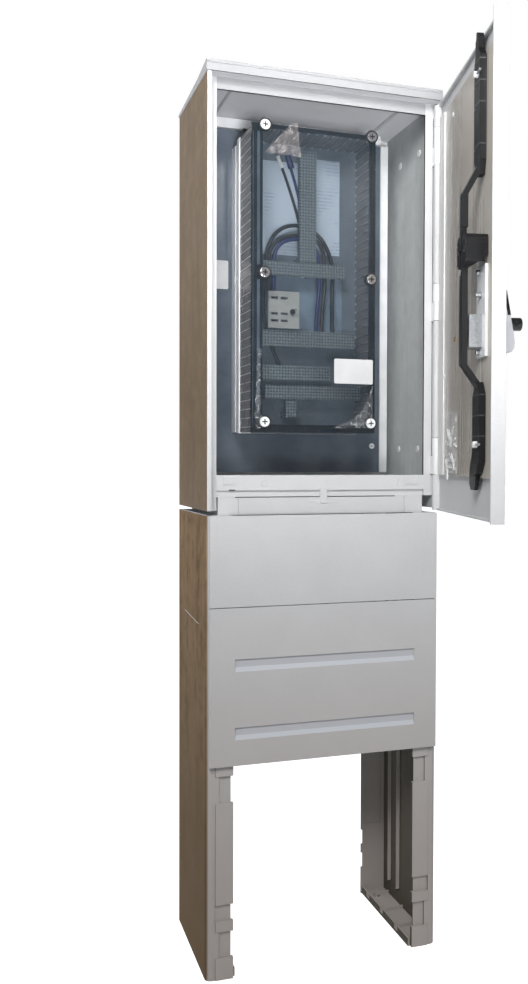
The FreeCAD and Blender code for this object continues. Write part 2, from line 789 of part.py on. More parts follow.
def lower_rod():
    x0, x1 = rod_edges()
    y0 = front + rod_back
    y1 = front + rod_front
    bar = box(x0, x1, y0, y1, lower_kink_z[0], rod_full_z[0])
    tongue = box(x0, x0 + rod_half_width, y0, y1, rod_full_z[0], rod_end_z[1])
    high, low = lower_kink_z
    section = [(y0, high), (y1, high), (front + rod_high_face, low), (front + rod_low_face, low)]
    kink = side_prism(section, x0, x1)
    return blade(lower_blade, lower_blade_z).fuse([bar, tongue, kink]).removeSplitter()


def gear_housing():
    z0, z1 = gear_z
    y0 = front + liner_face
    y1 = front + rod_front
    block = box(spindle_x + gear_x[0], spindle_x + gear_x[1], y0, y1, z0, z1)
    block = block.makeFillet(gear_corner, edges_along(block, Y_AXIS))
    x0, x1 = rod_edges()
    channel = box(x0 - gear_channel_clearance, x1 + gear_channel_clearance,
                  front + rod_back - gear_channel_clearance, y1 + 1.0, z0 - 1.0, z1 + 1.0)
    under = side_prism([(y0 - 1.0, z0 - 1.0), (y0 - 1.0, z0 + gear_slope), (front + rod_back, z0 - 1.0)],
                       spindle_x + gear_x[0] - 1.0, spindle_x + gear_x[1] + 1.0)
    return block.cut([channel, under])


def backing_plate():
    x0 = spindle_x + backing_x[0]
    x1 = spindle_x + backing_x[1]
    z0, z1 = backing_z
    y0 = front + liner_face
    plate = box(x0, x1, y0, y0 + backing_thickness, z0, z1)
    lip = box(x0, x0 + backing_thickness, y0, y0 + backing_thickness + backing_lip, z0, z1)
    hole = cylinder(spindle_x, y0 - 1.0, spindle_z, spindle_hole_radius, backing_thickness + 2.0, Y_AXIS)
    return plate.fuse(lip).cut(hole).removeSplitter()


def lock_case():
    y0 = front + liner_face + backing_thickness
    return box(spindle_x + case_x[0], spindle_x + case_x[1], y0, front + case_face, case_z[0], case_z[1])


# Handle

def handle_base():
    z0, z1 = [spindle_z + z for z in handle_plate_z]
    plate = rounded_plate(spindle_x - handle_plate_half, spindle_x + handle_plate_half,
                          front - handle_plate, front, z0, z1, handle_plate_radius)
    hole = cylinder(spindle_x, front - handle_plate - 1.0, spindle_z, spindle_hole_radius, handle_plate + 2.0,
                    Y_AXIS)
    return plate.cut(hole)


def handle_hub():
    y = front - handle_plate - seat_gap
    pin_z = spindle_z + lift_z
    ear_low = spindle_z - lift_pin_radius
    disc = cylinder(spindle_x, y, spindle_z, hub_radius, hub_height, -Y_AXIS)
    spindle = cylinder(spindle_x, y, spindle_z, spindle_radius, spindle_length, Y_AXIS)
    pieces = [spindle]
    for x in (spindle_x - ear_half, spindle_x + ear_half - ear_thickness):
        pieces.append(box(x, x + ear_thickness, front - lift_height - ear_rise, y, ear_low,
                          pin_z + lever_head_radius))
    pieces.append(box(spindle_x - ear_half, spindle_x + ear_half, y - hub_height, y, ear_low,
                      spindle_z + lift_pin_radius))
    pieces.append(cylinder(spindle_x - ear_half, front - lift_height, pin_z, lift_pin_radius,
                           2.0 * ear_half, X_AXIS))
    return disc.fuse(pieces).removeSplitter()


def lever_section(points):
    return [(front - height, spindle_z + z) for height, z in points]


def inlay_block():
    (h0, z0), (h1, z1) = lever_outer[1], lever_outer[2]
    slope = (h0 - h1) / (z0 - z1)
    low_height = h1 + slope * (inlay_z[0] - z1)
    high_height = h1 + slope * (inlay_z[1] - z1)
    section = [(low_height - inlay_depth, inlay_z[0]), (low_height + 1.0, inlay_z[0]),
               (high_height + 1.0, inlay_z[1]), (high_height - inlay_depth, inlay_z[1])]
    return side_prism(lever_section(section), spindle_x - inlay_half, spindle_x + inlay_half)


def handle_lever():
    outline = lever_outer + lever_inner + ((lever_back, lever_neck_low), (lever_back, lift_z))
    body = side_prism(lever_section(outline), spindle_x - lever_half, spindle_x + lever_half)
    pin_z = spindle_z + lift_z
    reach = lever_half + 1.0
    for x in (spindle_x - reach, spindle_x + lever_neck_half):
        body = body.cut(box(x, x + reach - lever_neck_half, front - 2.0 * lever_outer[3][0], front,
                            spindle_z + lever_neck_low, pin_z + 2.0 * lever_head_radius))
    head = cylinder(spindle_x - lever_neck_half, front - lift_height, pin_z, lever_head_radius,
                    2.0 * lever_neck_half, X_AXIS)
    bore = cylinder(spindle_x - lever_half, front - lift_height, pin_z, lift_pin_radius + pin_clearance,
                    2.0 * lever_half, X_AXIS)
    return body.fuse(head).cut([bore, inlay_block()]).removeSplitter()


def handle_knob():
    foot = front - lever_outer[3][0] + knob_sunk
    length = knob_height + knob_sunk
    z = spindle_z + knob_z
    knob = cylinder(spindle_x, foot, z, knob_radius, length, -Y_AXIS)
    rims = [e for e in knob.Edges if e.Vertexes[0].Y < foot - knob_height and len(e.Vertexes) == 1]
    knob = knob.makeFillet(knob_edge, rims)
    bore = cylinder(spindle_x - knob_radius - 1.0, foot - length / 2.0, z, knob_bore_radius,
                    knob_bore_depth + 1.0, X_AXIS)
    return knob.cut([bore, handle_lever()])


# Every piece in its place

left_leg = leg()
save("plinth_left_leg", left_leg)
save("plinth_right_leg", mirrored(left_leg))
save("plinth_upper_cover", front_cover(cover_seam_z + cover_seam_gap, plinth_height, ()))
save("plinth_lower_cover", front_cover(cover_bottom_z, cover_seam_z, slot_z))
save("plinth_rear_cover", rear_cover())

save("housing_left_wall", raised(left_wall()))
save("housing_right_wall", raised(right_wall()))
save("housing_back_wall", raised(back_wall()))
save("housing_floor", raised(housing_floor()))
save("roof_cap", raised(roof_cap()))
save("lintel", raised(lintel()))
save("sill", raised(sill()))
save("neck", raised(neck()))
save("hinge_brackets", raised(hinge_brackets()))

save("plate_standoffs", raised(plate_standoffs()))
save("mounting_plate", raised(mounting_plate()))
save("plate_rails", raised(plate_rails()))
save("meter_base_feet", raised(base_feet()))
save("meter_base_body", raised(base_body()))
save("meter_base_flange", raised(base_flange()))
save("meter_shell", raised(meter_shell()))
save("meter_lid_frame", raised(lid_frame()))
save("meter_lid", raised(meter_lid()))
save("meter_upright_strip", raised(standing_strip(*upright_strip)))
save("meter_cross_strips", raised(cross_rails()))
save("terminal_bracket", raised(terminal_bracket()))
save("wiring_papers", raised(papers()))
save("lid_film", raised(film()))

lead_set_back = inner_front + strip_lip + seat_gap + cable_radius
lead_step = 2.0 * cable_radius + seat_gap
routes = (("cable_blue", blue_route), ("cable_brown", brown_route), ("cable_black", black_route))
for name, route in routes:
    save(name, raised(cable(name, route, lead_set_back, cable_radius)))
    lead_set_back += lead_step
spare_set_back = base_set_back - paper_thickness - seat_gap - thin_cable_radius
for name, route in (("spare_cable_blue", spare_blue_route), ("spare_cable_dark", spare_dark_route)):
    save(name, raised(cable(name, route, spare_set_back, thin_cable_radius)))

save("door_leaf", swung(door_leaf()))
save("door_liner", swung(door_liner()))
save("door_knuckles", swung(door_knuckles()))
save("fixings_bag", swung(fixings_bag()))
save("latch_gear_housing", swung(gear_housing()))
save("latch_backing_plate", swung(backing_plate()))
save("lock_case", swung(lock_case()))
save("latch_rod_upper", swung(upper_rod()))
save("latch_rod_lower", swung(lower_rod()))
save("handle_base", swung(handle_base()))
save("handle_hub", swung(handle_hub()))
save("handle_lever", swung(handle_lever()))
save("handle_inlay", swung(inlay_block()))
save("handle_knob", swung(handle_knob()))
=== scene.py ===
import math
import bmesh
import bpy
from mathutils import Euler, Matrix, Vector, noise


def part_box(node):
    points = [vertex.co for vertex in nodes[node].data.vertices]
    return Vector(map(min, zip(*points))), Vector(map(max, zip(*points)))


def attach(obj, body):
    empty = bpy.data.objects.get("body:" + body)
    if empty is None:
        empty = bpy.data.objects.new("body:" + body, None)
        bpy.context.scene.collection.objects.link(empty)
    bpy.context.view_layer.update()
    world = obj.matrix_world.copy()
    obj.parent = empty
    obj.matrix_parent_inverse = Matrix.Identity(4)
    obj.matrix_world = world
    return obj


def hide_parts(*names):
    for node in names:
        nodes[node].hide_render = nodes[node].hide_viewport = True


bl_info = {
    "name": "Street distribution cabinet",
    "version": (1, 0, 0),
    "blender": (4, 5, 0),
    "location": "View3D > Sidebar > Cabinet",
    "description": "Finishes and small parts of a polyester distribution cabinet with an open door",
    "category": "Object",
}

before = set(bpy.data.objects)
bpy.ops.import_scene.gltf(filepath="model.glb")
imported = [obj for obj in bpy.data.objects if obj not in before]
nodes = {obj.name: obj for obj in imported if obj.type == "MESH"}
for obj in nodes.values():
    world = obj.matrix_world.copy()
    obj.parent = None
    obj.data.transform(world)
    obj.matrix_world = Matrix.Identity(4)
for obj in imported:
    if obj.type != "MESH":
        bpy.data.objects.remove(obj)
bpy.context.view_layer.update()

# Depths are set back from the front of the closed door and the plinth covers, in millimetres.
MM = 0.001
FRONT = -140.0
DOOR_PIN = (231.0, 8.5)
DOOR_OPEN = math.radians(77.5)
LID_FACE = 60.0
LINER_FACE = 8.0
PLATE_FACE = 236.0
BASE_FACE = 163.0


def linear(code):
    """A colour written as sRGB hex, as the linear values that a shader takes."""
    values = [int(code[i:i + 2], 16) / 255.0 for i in (1, 3, 5)]
    return [v / 12.92 if v <= 0.04045 else ((v + 0.055) / 1.055) ** 2.4 for v in values] + [1.0]


def place(x, depth, z):
    """A point given by its width, its set back from the front and its height, in metres."""
    return Vector((x, FRONT + depth, z)) * MM


# Mesh pieces

def add_block(bm, x0, x1, d0, d1, z0, z1, edge=0.0, segments=2):
    """A block between two corners, its edges eased by a small bevel."""
    centre = (place(x0, d0, z0) + place(x1, d1, z1)) / 2.0
    size = place(x1, d1, z1) - place(x0, d0, z0)
    matrix = Matrix.Translation(centre) @ Matrix.Diagonal((*size, 1.0))
    made = bmesh.ops.create_cube(bm, size=1.0, matrix=matrix)["verts"]
    if edge:
        edges = list({e for v in made for e in v.link_edges})
        bmesh.ops.bevel(bm, geom=edges, offset=edge * MM, offset_type="OFFSET", segments=segments,
                        profile=0.5, affect="EDGES", material=-1, clamp_overlap=True)


def add_disc(bm, x, depth, z, radius, height, towards=(0, -1, 0), edge=0.0, segments=32, top=None):
    """A round head that stands on a face and looks along a direction; its rim is rounded."""
    way = Vector(towards)
    turn = way.to_track_quat("Z", "Y").to_matrix().to_4x4()
    centre = place(x, depth, z) + way * (height * MM / 2.0)
    made = bmesh.ops.create_cone(bm, cap_ends=True, segments=segments, radius1=radius * MM,
                                 radius2=(top or radius) * MM, depth=height * MM,
                                 matrix=Matrix.Translation(centre) @ turn)["verts"]
    if edge:
        far = place(x, depth, z) + way * height * MM
        rim = [e for v in made for e in v.link_edges
               if all(abs((w.co - far).dot(way)) < 1e-6 for w in e.verts) and len(e.link_faces) == 2]
        bmesh.ops.bevel(bm, geom=list(set(rim)), offset=edge * MM, offset_type="OFFSET", segments=3,
                        profile=0.5, affect="EDGES", material=-1, clamp_overlap=True)


def add_ring(bm, x, depth, z, inner, outer, height, segments=40):
    """A round washer or collar with a softly rounded section, turned about an axis out of the face."""
    half = (outer - inner) / 2.0
    centre = place(x + inner + half, depth - height / 2.0, z)
    section = Matrix(((0.0, half * MM, 0.0), (-height / 2.0 * MM, 0.0, 0.0), (0.0, 0.0, 1.0))).to_4x4()
    start = bmesh.ops.create_circle(bm, cap_ends=False, radius=1.0, segments=10,
                                    matrix=Matrix.Translation(centre) @ section)["verts"]
    edges = list(dict.fromkeys(e for v in start for e in v.link_edges))
    bmesh.ops.spin(bm, geom=start + edges, cent=place(x, depth, z), axis=(0, 1, 0), dvec=(0, 0, 0),
                   angle=math.tau, steps=segments, use_merge=True, use_normal_flip=False, use_duplicate=False)


def swing(bm):
    """Turns what was laid out on the closed door into the open door's place."""
    pin = place(DOOR_PIN[0], DOOR_PIN[1], 0.0)
    turn = Matrix.Translation(pin) @ Matrix.Rotation(DOOR_OPEN, 4, "Z") @ Matrix.Translation(-pin)
    bmesh.ops.transform(bm, matrix=turn, verts=bm.verts)


def piece(bm, name, finish, body="cabinet", smooth=False):
    """Closes a mesh, gives it its finish and fixes it to a body; pieces of the door are swung open first."""
    if body != "cabinet":
        swing(bm)
    bmesh.ops.remove_doubles(bm, verts=bm.verts, dist=1e-6)
    bmesh.ops.recalc_face_normals(bm, faces=bm.faces)
    mesh = bpy.data.meshes.new(name)
    bm.to_mesh(mesh)
    bm.free()
    obj = bpy.data.objects.new(name, mesh)
    bpy.context.scene.collection.objects.link(obj)
    mesh.materials.append(FINISHES[finish])
    if smooth:
        mesh.shade_smooth()
    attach(obj, body)
    return obj


# Materials

def add_node(tree, kind, inputs=(), stops=(), **settings):
    """Adds a shader node and fills it in.

    Settings are its options and its inputs by name. The pairs in inputs give an input's name or number with a
    value or another node's output. A colour ramp's stops are pairs of a place and an sRGB hex, in order.
    """
    node = tree.nodes.new("ShaderNode" + kind)
    for name, value in settings.items():
        if name in node.bl_rna.properties:
            setattr(node, name, value)
        else:
            node.inputs[name.replace("_", " ")].default_value = value
    for name, source in inputs:
        if isinstance(source, bpy.types.NodeSocket):
            tree.links.new(source, node.inputs[name])
        else:
            node.inputs[name].default_value = source
    for number, (position, code) in enumerate(stops):
        elements = node.color_ramp.elements
        element = elements[number] if number < 2 else elements.new(position)
        element.position = position
        element.color = linear(code)
    return node


def new_material(name, **values):
    """A material with one Principled surface; gives its node tree, its shader and object coordinates."""
    material = bpy.data.materials.get(name)
    if material:
        bpy.data.materials.remove(material)
    material = bpy.data.materials.new(name)
    material.use_nodes = True
    tree = material.node_tree
    shader = tree.nodes["Principled BSDF"]
    for key, value in values.items():
        shader.inputs[key.replace("_", " ")].default_value = value
    coords = add_node(tree, "TexCoord").outputs["Object"]
    return material, tree, shader, coords


def vary(tree, shader, pattern, tones, smoothest, roughest):
    """Lets one pattern vary both a surface's tone, through (place, sRGB hex) pairs, and its roughness."""
    colour = add_node(tree, "ValToRGB", [("Fac", pattern)], tones)
    tree.links.new(colour.outputs["Color"], shader.inputs["Base Color"])
    rough = add_node(tree, "MapRange", [("Value", pattern)], To_Min=smoothest, To_Max=roughest)
    tree.links.new(rough.outputs["Result"], shader.inputs["Roughness"])


def raise_surface(tree, shader, height, distance, strength=1.0, edge=0.0):
    """Raises a surface by a height in metres, and eases the edges of a piece that has no bevel of its own."""
    raised = add_node(tree, "Bump", [("Height", height)], Strength=strength, Distance=distance)
    if edge:
        eased = add_node(tree, "Bevel", samples=4, Radius=edge * MM)
        tree.links.new(eased.outputs["Normal"], raised.inputs["Normal"])
    tree.links.new(raised.outputs["Normal"], shader.inputs["Normal"])


def polyester(name, pale, dark, edge=0.8, stain_and_shade=None, low_shade_and_soil=None, grip_shade_and_light=None, turned=None):
    """Glass-fibre reinforced polyester, hot pressed: matt, in clouds 110 mm wide, with a 2 mm orange peel."""
    dusty = stain_and_shade and low_shade_and_soil
    gloss = 0.06 if dusty else 0.15 if stain_and_shade else 0.4
    material, tree, shader, coords = new_material(name, Roughness=0.5, IOR=1.5, Specular_IOR_Level=gloss)
    cloud = add_node(tree, "TexNoise", [("Vector", coords)], Scale=9.0, Detail=4.0, Roughness=0.55).outputs[0]
    fine = add_node(tree, "TexNoise", [("Vector", coords)], Scale=420.0, Detail=3.0, Roughness=0.6).outputs[0]
    both = add_node(tree, "Math", [(0, cloud), (1, fine)], operation="ADD").outputs[0]
    mottle = add_node(tree, "Math", [(0, both), (1, 0.5)], operation="MULTIPLY").outputs[0]
    colour = add_node(tree, "ValToRGB", [("Fac", mottle)], [(0.38, dark), (0.62, pale)]).outputs["Color"]
    stains = []
    # darker and warmer towards the ground: partly painted shade of the light falling off downwards, partly soil
    if low_shade_and_soil:
        height = add_node(tree, "SeparateXYZ", [("Vector", coords)]).outputs["Z"]
        rise = add_node(tree, "MapRange", [("Value", height)], interpolation_type="SMOOTHSTEP", From_Min=0.1,
                        From_Max=0.85, To_Min=1.0, To_Max=0.0).outputs[0]
        stains.append((rise, linear(low_shade_and_soil)))
    if stain_and_shade:
        # on faces that look towards -X the tone changes in soft streaks about 40 mm wide: on the outer left
        # side, which faced the weather, partly dirt and run marks and partly painted shade; on the right wall
        # and the right leg, whose -X faces look into the cabinet, painted shade
        run = add_node(tree, "Mapping", [("Vector", coords)], Scale=(24.0, 24.0, 4.0)).outputs[0]
        streaks = add_node(tree, "TexNoise", [("Vector", run)], Scale=1.0, Detail=6.0, Roughness=0.6)
        patches = add_node(tree, "TexNoise", [("Vector", coords)], Scale=26.0, Detail=5.0, Roughness=0.65)
        both = add_node(tree, "Math", [(0, streaks.outputs[0]), (1, patches.outputs[0])], operation="ADD")
        depth = add_node(tree, "Math", [(0, both.outputs[0]), (1, 0.5)], operation="MULTIPLY").outputs[0]
        middle, deepest, lightest = stain_and_shade
        grime_and_shade = add_node(tree, "ValToRGB", [("Fac", depth)],
                         [(0.36, deepest), (0.5, middle), (0.64, lightest)]).outputs["Color"]
        # towards the ground the stain turns to its deepest tone: partly painted shade, partly soil
        if low_shade_and_soil:
            grime_and_shade = add_node(tree, "Mix", [(0, rise), (6, grime_and_shade), (7, linear(deepest))],
                             data_type="RGBA").outputs[2]
        looks = add_node(tree, "NewGeometry").outputs["Normal"]
        sideways = add_node(tree, "SeparateXYZ", [("Vector", looks)]).outputs["X"]
        outer = add_node(tree, "MapRange", [("Value", sideways)], From_Min=-0.55, From_Max=-0.85).outputs[0]
        stains.append((outer, grime_and_shade))
    if grip_shade_and_light:
        # painted shade: the flat back of the grips, 3 mm behind the cover's face, is painted darker; painted
        # light: their sloped floor, which looks upwards, is painted a bluish light grey
        depth = add_node(tree, "SeparateXYZ", [("Vector", coords)]).outputs["Y"]
        deep = add_node(tree, "MapRange", [("Value", depth)], From_Min=-0.1378, From_Max=-0.1371).outputs[0]
        near = add_node(tree, "MapRange", [("Value", depth)], From_Min=-0.1362, From_Max=-0.1366).outputs[0]
        back = add_node(tree, "Math", [(0, deep), (1, near)], operation="MULTIPLY").outputs[0]
        looks = add_node(tree, "NewGeometry").outputs["True Normal"]
        upwards = add_node(tree, "SeparateXYZ", [("Vector", looks)]).outputs["Z"]
        lit_grip_slope = add_node(tree, "MapRange", [("Value", upwards)], From_Min=0.12, From_Max=0.2).outputs[0]
        stains += [(back, linear(grip_shade_and_light[0])), (lit_grip_slope, linear(grip_shade_and_light[1]))]
    if turned:
        # painted light and shade: the faces that look one way take a tone of their own, lighter where it stands
        # for light they catch and darker where it stands for shade
        way, tone = turned
        looks = add_node(tree, "TexCoord").outputs["Normal"]
        along = add_node(tree, "VectorMath", [(0, looks), (1, way)], operation="DOT_PRODUCT").outputs["Value"]
        side = add_node(tree, "MapRange", [("Value", along)], From_Min=0.7, From_Max=0.85).outputs[0]
        stains.append((side, linear(tone)))
    for share, stain in stains:
        colour = add_node(tree, "Mix", [(0, share), (6, colour), (7, stain)], data_type="RGBA").outputs[2]
    tree.links.new(colour, shader.inputs["Base Color"])
    dust = 0.2 if dusty else 0.0
    rough = add_node(tree, "MapRange", [("Value", cloud)], To_Min=0.42 + dust, To_Max=0.6 + dust).outputs[0]
    tree.links.new(rough, shader.inputs["Roughness"])
    raise_surface(tree, shader, fine, 0.00006, 0.6, edge)
    return material


def moulded(name, colour, other, roughness=0.35, edge=0.5, **values):
    """Injection moulding: even colour in tones 33 mm wide, a spark-eroded grain under 2 mm, soft edges."""
    material, tree, shader, coords = new_material(name, IOR=1.5, **values)
    tone = add_node(tree, "TexNoise", [("Vector", coords)], Scale=30.0, Detail=3.0).outputs[0]
    vary(tree, shader, tone, [(0.35, other), (0.65, colour)], roughness - 0.08, roughness + 0.08)
    grain = add_node(tree, "TexNoise", [("Vector", coords)], Scale=600.0, Detail=2.0).outputs[0]
    raise_surface(tree, shader, grain, 0.00004, 0.5, edge)
    return material


def clear_polycarbonate(name, tint, roughness, **values):
    """Injection-moulded polycarbonate: clear or smoky, with flow marks 70 mm long and scuffs 6 mm apart."""
    material, tree, shader, coords = new_material(name, IOR=1.58, **values)
    flow = add_node(tree, "TexNoise", [("Vector", coords)], Scale=14.0, Detail=2.0).outputs[0]
    colour = add_node(tree, "ValToRGB", [("Fac", flow)], [(0.3, tint[1]), (0.7, tint[0])])
    tree.links.new(colour.outputs["Color"], shader.inputs["Base Color"])
    scuffs = add_node(tree, "TexNoise", [("Vector", coords)], Scale=180.0, Detail=4.0, Roughness=0.7)
    rough = add_node(tree, "MapRange", [("Value", scuffs.outputs[0])], From_Min=0.45, From_Max=0.75,
                     To_Min=roughness, To_Max=roughness + 0.12)
    tree.links.new(rough.outputs["Result"], shader.inputs["Roughness"])
    raise_surface(tree, shader, flow, 0.0004, 0.3)
    return material


def dark_plate():
    """Laminated paper board, pressed under heat: dark slate, half gloss, with dusty clouds 140 mm wide."""
    material, tree, shader, coords = new_material("Phenolic_laminate_slate", IOR=1.55)
    cloud = add_node(tree, "TexNoise", [("Vector", coords)], Scale=7.0, Detail=6.0, Roughness=0.6).outputs[0]
    vary(tree, shader, cloud, [(0.3, "#4d5661"), (0.7, "#68727e")], 0.08, 0.24)
    raise_surface(tree, shader, cloud, 0.0006, 0.4, 0.5)
    return material


def perforated_steel():
    """Punched and galvanised strip: holes 3 mm wide every 6 mm show as darker dots on a 6 mm spangle."""
    material, tree, shader, coords = new_material("Galvanised_perforated_strip", Metallic=0.75)
    pitch = 6.0 * MM
    grid = add_node(tree, "VectorMath", [(0, coords)], operation="SCALE", Scale=1.0 / pitch).outputs[0]
    cell = add_node(tree, "VectorMath", [(0, grid)], operation="FRACTION").outputs[0]
    centred = add_node(tree, "VectorMath", [(0, cell), (1, (0.5, 0.5, 0.5))], operation="SUBTRACT").outputs[0]
    flat = add_node(tree, "VectorMath", [(0, centred), (1, (1.0, 0.0, 1.0))], operation="MULTIPLY").outputs[0]
    away = add_node(tree, "VectorMath", [(0, flat)], operation="LENGTH").outputs["Value"]
    hole = add_node(tree, "MapRange", [("Value", away)], From_Min=0.22, From_Max=0.3).outputs[0]
    spangle = add_node(tree, "TexVoronoi", [("Vector", coords)], Scale=160.0).outputs["Distance"]
    zinc = add_node(tree, "ValToRGB", [("Fac", spangle)], [(0.1, "#8d979b"), (0.7, "#78838a")]).outputs["Color"]
    colour = add_node(tree, "Mix", [(0, hole), (6, linear("#343d43")), (7, zinc)], data_type="RGBA").outputs[2]
    tree.links.new(colour, shader.inputs["Base Color"])
    rough = add_node(tree, "MapRange", [("Value", spangle)], To_Min=0.35, To_Max=0.5).outputs[0]
    tree.links.new(rough, shader.inputs["Roughness"])
    raise_surface(tree, shader, hole, 0.0004, 0.5)
    return material


def bare_metal(name, colour, other, roughness):
    """Machined or plated metal: marks of its finishing, 3 mm apart, vary the gloss of small bright parts."""
    material, tree, shader, coords = new_material(name, Metallic=1.0)
    marks = add_node(tree, "TexNoise", [("Vector", coords)], Scale=300.0, Detail=4.0).outputs[0]
    vary(tree, shader, marks, [(0.35, other), (0.65, colour)], roughness - 0.1, roughness + 0.1)
    raise_surface(tree, shader, marks, 0.00005, 0.5, 0.3)
    return material


def printed_paper():
    """Coated paper forms behind the pane: bluish, with blurred blank rows every 7 mm in patches of 45 mm."""
    material, tree, shader, coords = new_material("Coated_paper", Roughness=0.6, IOR=1.4)
    height = add_node(tree, "SeparateXYZ", [("Vector", coords)]).outputs["Z"]
    rows = add_node(tree, "Math", [(0, height), (1, 1.0 / (7.0 * MM))], operation="MULTIPLY").outputs[0]
    row = add_node(tree, "Math", [(0, rows)], operation="FRACT").outputs[0]
    band = add_node(tree, "MapRange", [("Value", row)], interpolation_type="SMOOTHSTEP", From_Min=0.45,
                    From_Max=0.75).outputs[0]
    smudge = add_node(tree, "TexNoise", [("Vector", coords)], Scale=120.0, Detail=3.0).outputs[0]
    blurred = add_node(tree, "Math", [(0, band), (1, smudge)], operation="MULTIPLY").outputs[0]
    blocks = add_node(tree, "TexNoise", [("Vector", coords)], Scale=22.0, Detail=1.0).outputs[0]
    patchy = add_node(tree, "MapRange", [("Value", blocks)], From_Min=0.42, From_Max=0.58).outputs[0]
    seen = add_node(tree, "Math", [(0, blurred), (1, patchy)], operation="MULTIPLY").outputs[0]
    colour = add_node(tree, "ValToRGB", [("Fac", seen)], [(0.12, "#b5c3d3"), (0.75, "#8f9fb0")])
    tree.links.new(colour.outputs["Color"], shader.inputs["Base Color"])
    raise_surface(tree, shader, smudge, 0.0003, 0.3)
    return material


def sheath(name, colour, other):
    """Extruded wire sheath of PVC: smooth and half gloss, with dust in specks 11 mm apart."""
    material, tree, shader, coords = new_material(name, IOR=1.5)
    dust = add_node(tree, "TexNoise", [("Vector", coords)], Scale=90.0, Detail=4.0).outputs[0]
    vary(tree, shader, dust, [(0.4, colour), (0.75, other)], 0.28, 0.5)
    raise_surface(tree, shader, dust, 0.0001, 0.3)
    return material


def cellophane_with_painted_glints(name, colour, thin):
    """Blown wrapping film: nearly clear; along its creases, which lie 10 to 20 mm apart, and in patches it is
    made more opaque in its pale colour as painted glints.
    """
    material, tree, shader, coords = new_material(name, IOR=1.45, Roughness=0.14, Base_Color=linear(colour))
    stir = add_node(tree, "TexNoise", [("Vector", coords)], Scale=60.0, Detail=2.0).outputs["Color"]
    bent = add_node(tree, "Mix", [(0, 0.02), (4, coords), (5, stir)], data_type="VECTOR").outputs[1]
    cells = add_node(tree, "TexVoronoi", [("Vector", bent)], Scale=60.0, feature="DISTANCE_TO_EDGE")
    crease = cells.outputs["Distance"]
    # painted glints: creases and patches are made more opaque in the film's pale colour, standing for light
    # caught on the folds
    line = add_node(tree, "MapRange", [("Value", crease)], From_Min=0.0, From_Max=0.05, To_Min=0.6,
                    To_Max=thin).outputs[0]
    patch = add_node(tree, "TexNoise", [("Vector", coords)], Scale=75.0, Detail=4.0).outputs[0]
    glint_patches = add_node(tree, "MapRange", [("Value", patch)], From_Min=0.5, From_Max=0.68, To_Min=0.35,
                    To_Max=1.3).outputs[0]
    cover = add_node(tree, "Math", [(0, line), (1, glint_patches)], operation="MULTIPLY", use_clamp=True).outputs[0]
    tree.links.new(cover, shader.inputs["Alpha"])
    raise_surface(tree, shader, crease, 0.002, 0.8)
    return material


def door_liner():
    """Vacuum-formed liner: satin, pale by the hinges, browner across in streaks 40 mm by 450 mm; the brown is a
    painted reflection of brown surroundings.
    """
    material, tree, shader, coords = new_material("Vacuum_formed_polystyrene_liner_painted_reflection", IOR=1.5)
    pin = place(DOOR_PIN[0], DOOR_PIN[1], 0.0)
    across = (-math.cos(DOOR_OPEN), -math.sin(DOOR_OPEN), 0.0)
    start = add_node(tree, "VectorMath", [(0, coords), (1, pin)], operation="SUBTRACT").outputs[0]
    reach = add_node(tree, "VectorMath", [(0, start), (1, across)], operation="DOT_PRODUCT").outputs["Value"]
    run = add_node(tree, "Mapping", [("Vector", coords)], Scale=(26.0, 26.0, 2.2)).outputs[0]
    streaks = add_node(tree, "TexNoise", [("Vector", run)], Scale=1.0, Detail=3.0).outputs[0]
    shift = add_node(tree, "MapRange", [("Value", streaks)], To_Min=-0.035, To_Max=0.035).outputs[0]
    there = add_node(tree, "Math", [(0, reach), (1, shift)], operation="ADD").outputs[0]
    share = add_node(tree, "Math", [(0, there), (1, 1.0 / 0.45)], operation="MULTIPLY").outputs[0]
    # painted reflection: from the pale hinge side the tone turns to the brown of the surroundings mirrored in
    # the liner, its edge wavering in streaks
    colour = add_node(tree, "ValToRGB", [("Fac", share)],
                      [(0.1, "#f0efee"), (0.17, "#d9d7d4"), (0.27, "#a39c93"),
                       (0.45, "#a8a198"), (0.6, "#b9b2a8"), (0.85, "#c4beb5")])
    tree.links.new(colour.outputs["Color"], shader.inputs["Base Color"])
    rough = add_node(tree, "MapRange", [("Value", streaks)], To_Min=0.2, To_Max=0.36).outputs[0]
    tree.links.new(rough, shader.inputs["Roughness"])
    fine = add_node(tree, "TexNoise", [("Vector", coords)], Scale=160.0, Detail=2.0).outputs[0]
    raise_surface(tree, shader, fine, 0.00008, 0.5, 0.6)
    return material


def base_flange():
    """Two-colour moulded base of the meter box: white rim, slate tray in clouds 60 mm wide."""
    material, tree, shader, coords = new_material("Two_tone_polycarbonate_base", IOR=1.5, Roughness=0.35)
    cloud = add_node(tree, "TexNoise", [("Vector", coords)], Scale=16.0, Detail=4.0).outputs[0]
    tray = add_node(tree, "ValToRGB", [("Fac", cloud)], [(0.35, "#59626c"), (0.65, "#66707b")]).outputs["Color"]
    looks = add_node(tree, "NewGeometry").outputs["True Normal"]
    forward = add_node(tree, "SeparateXYZ", [("Vector", looks)]).outputs["Y"]
    front = add_node(tree, "MapRange", [("Value", forward)], From_Min=-0.4, From_Max=-0.6).outputs[0]
    across = add_node(tree, "SeparateXYZ", [("Vector", coords)]).outputs["X"]
    inside = add_node(tree, "MapRange", [("Value", across)], From_Min=-0.112, From_Max=-0.11).outputs[0]
    dark = add_node(tree, "Math", [(0, front), (1, inside)], operation="MULTIPLY").outputs[0]
    colour = add_node(tree, "Mix", [(0, dark), (6, linear("#eceef0")), (7, tray)], data_type="RGBA").outputs[2]
    tree.links.new(colour, shader.inputs["Base Color"])
    raise_surface(tree, shader, cloud, 0.0002, 0.3, 0.5)
    return material


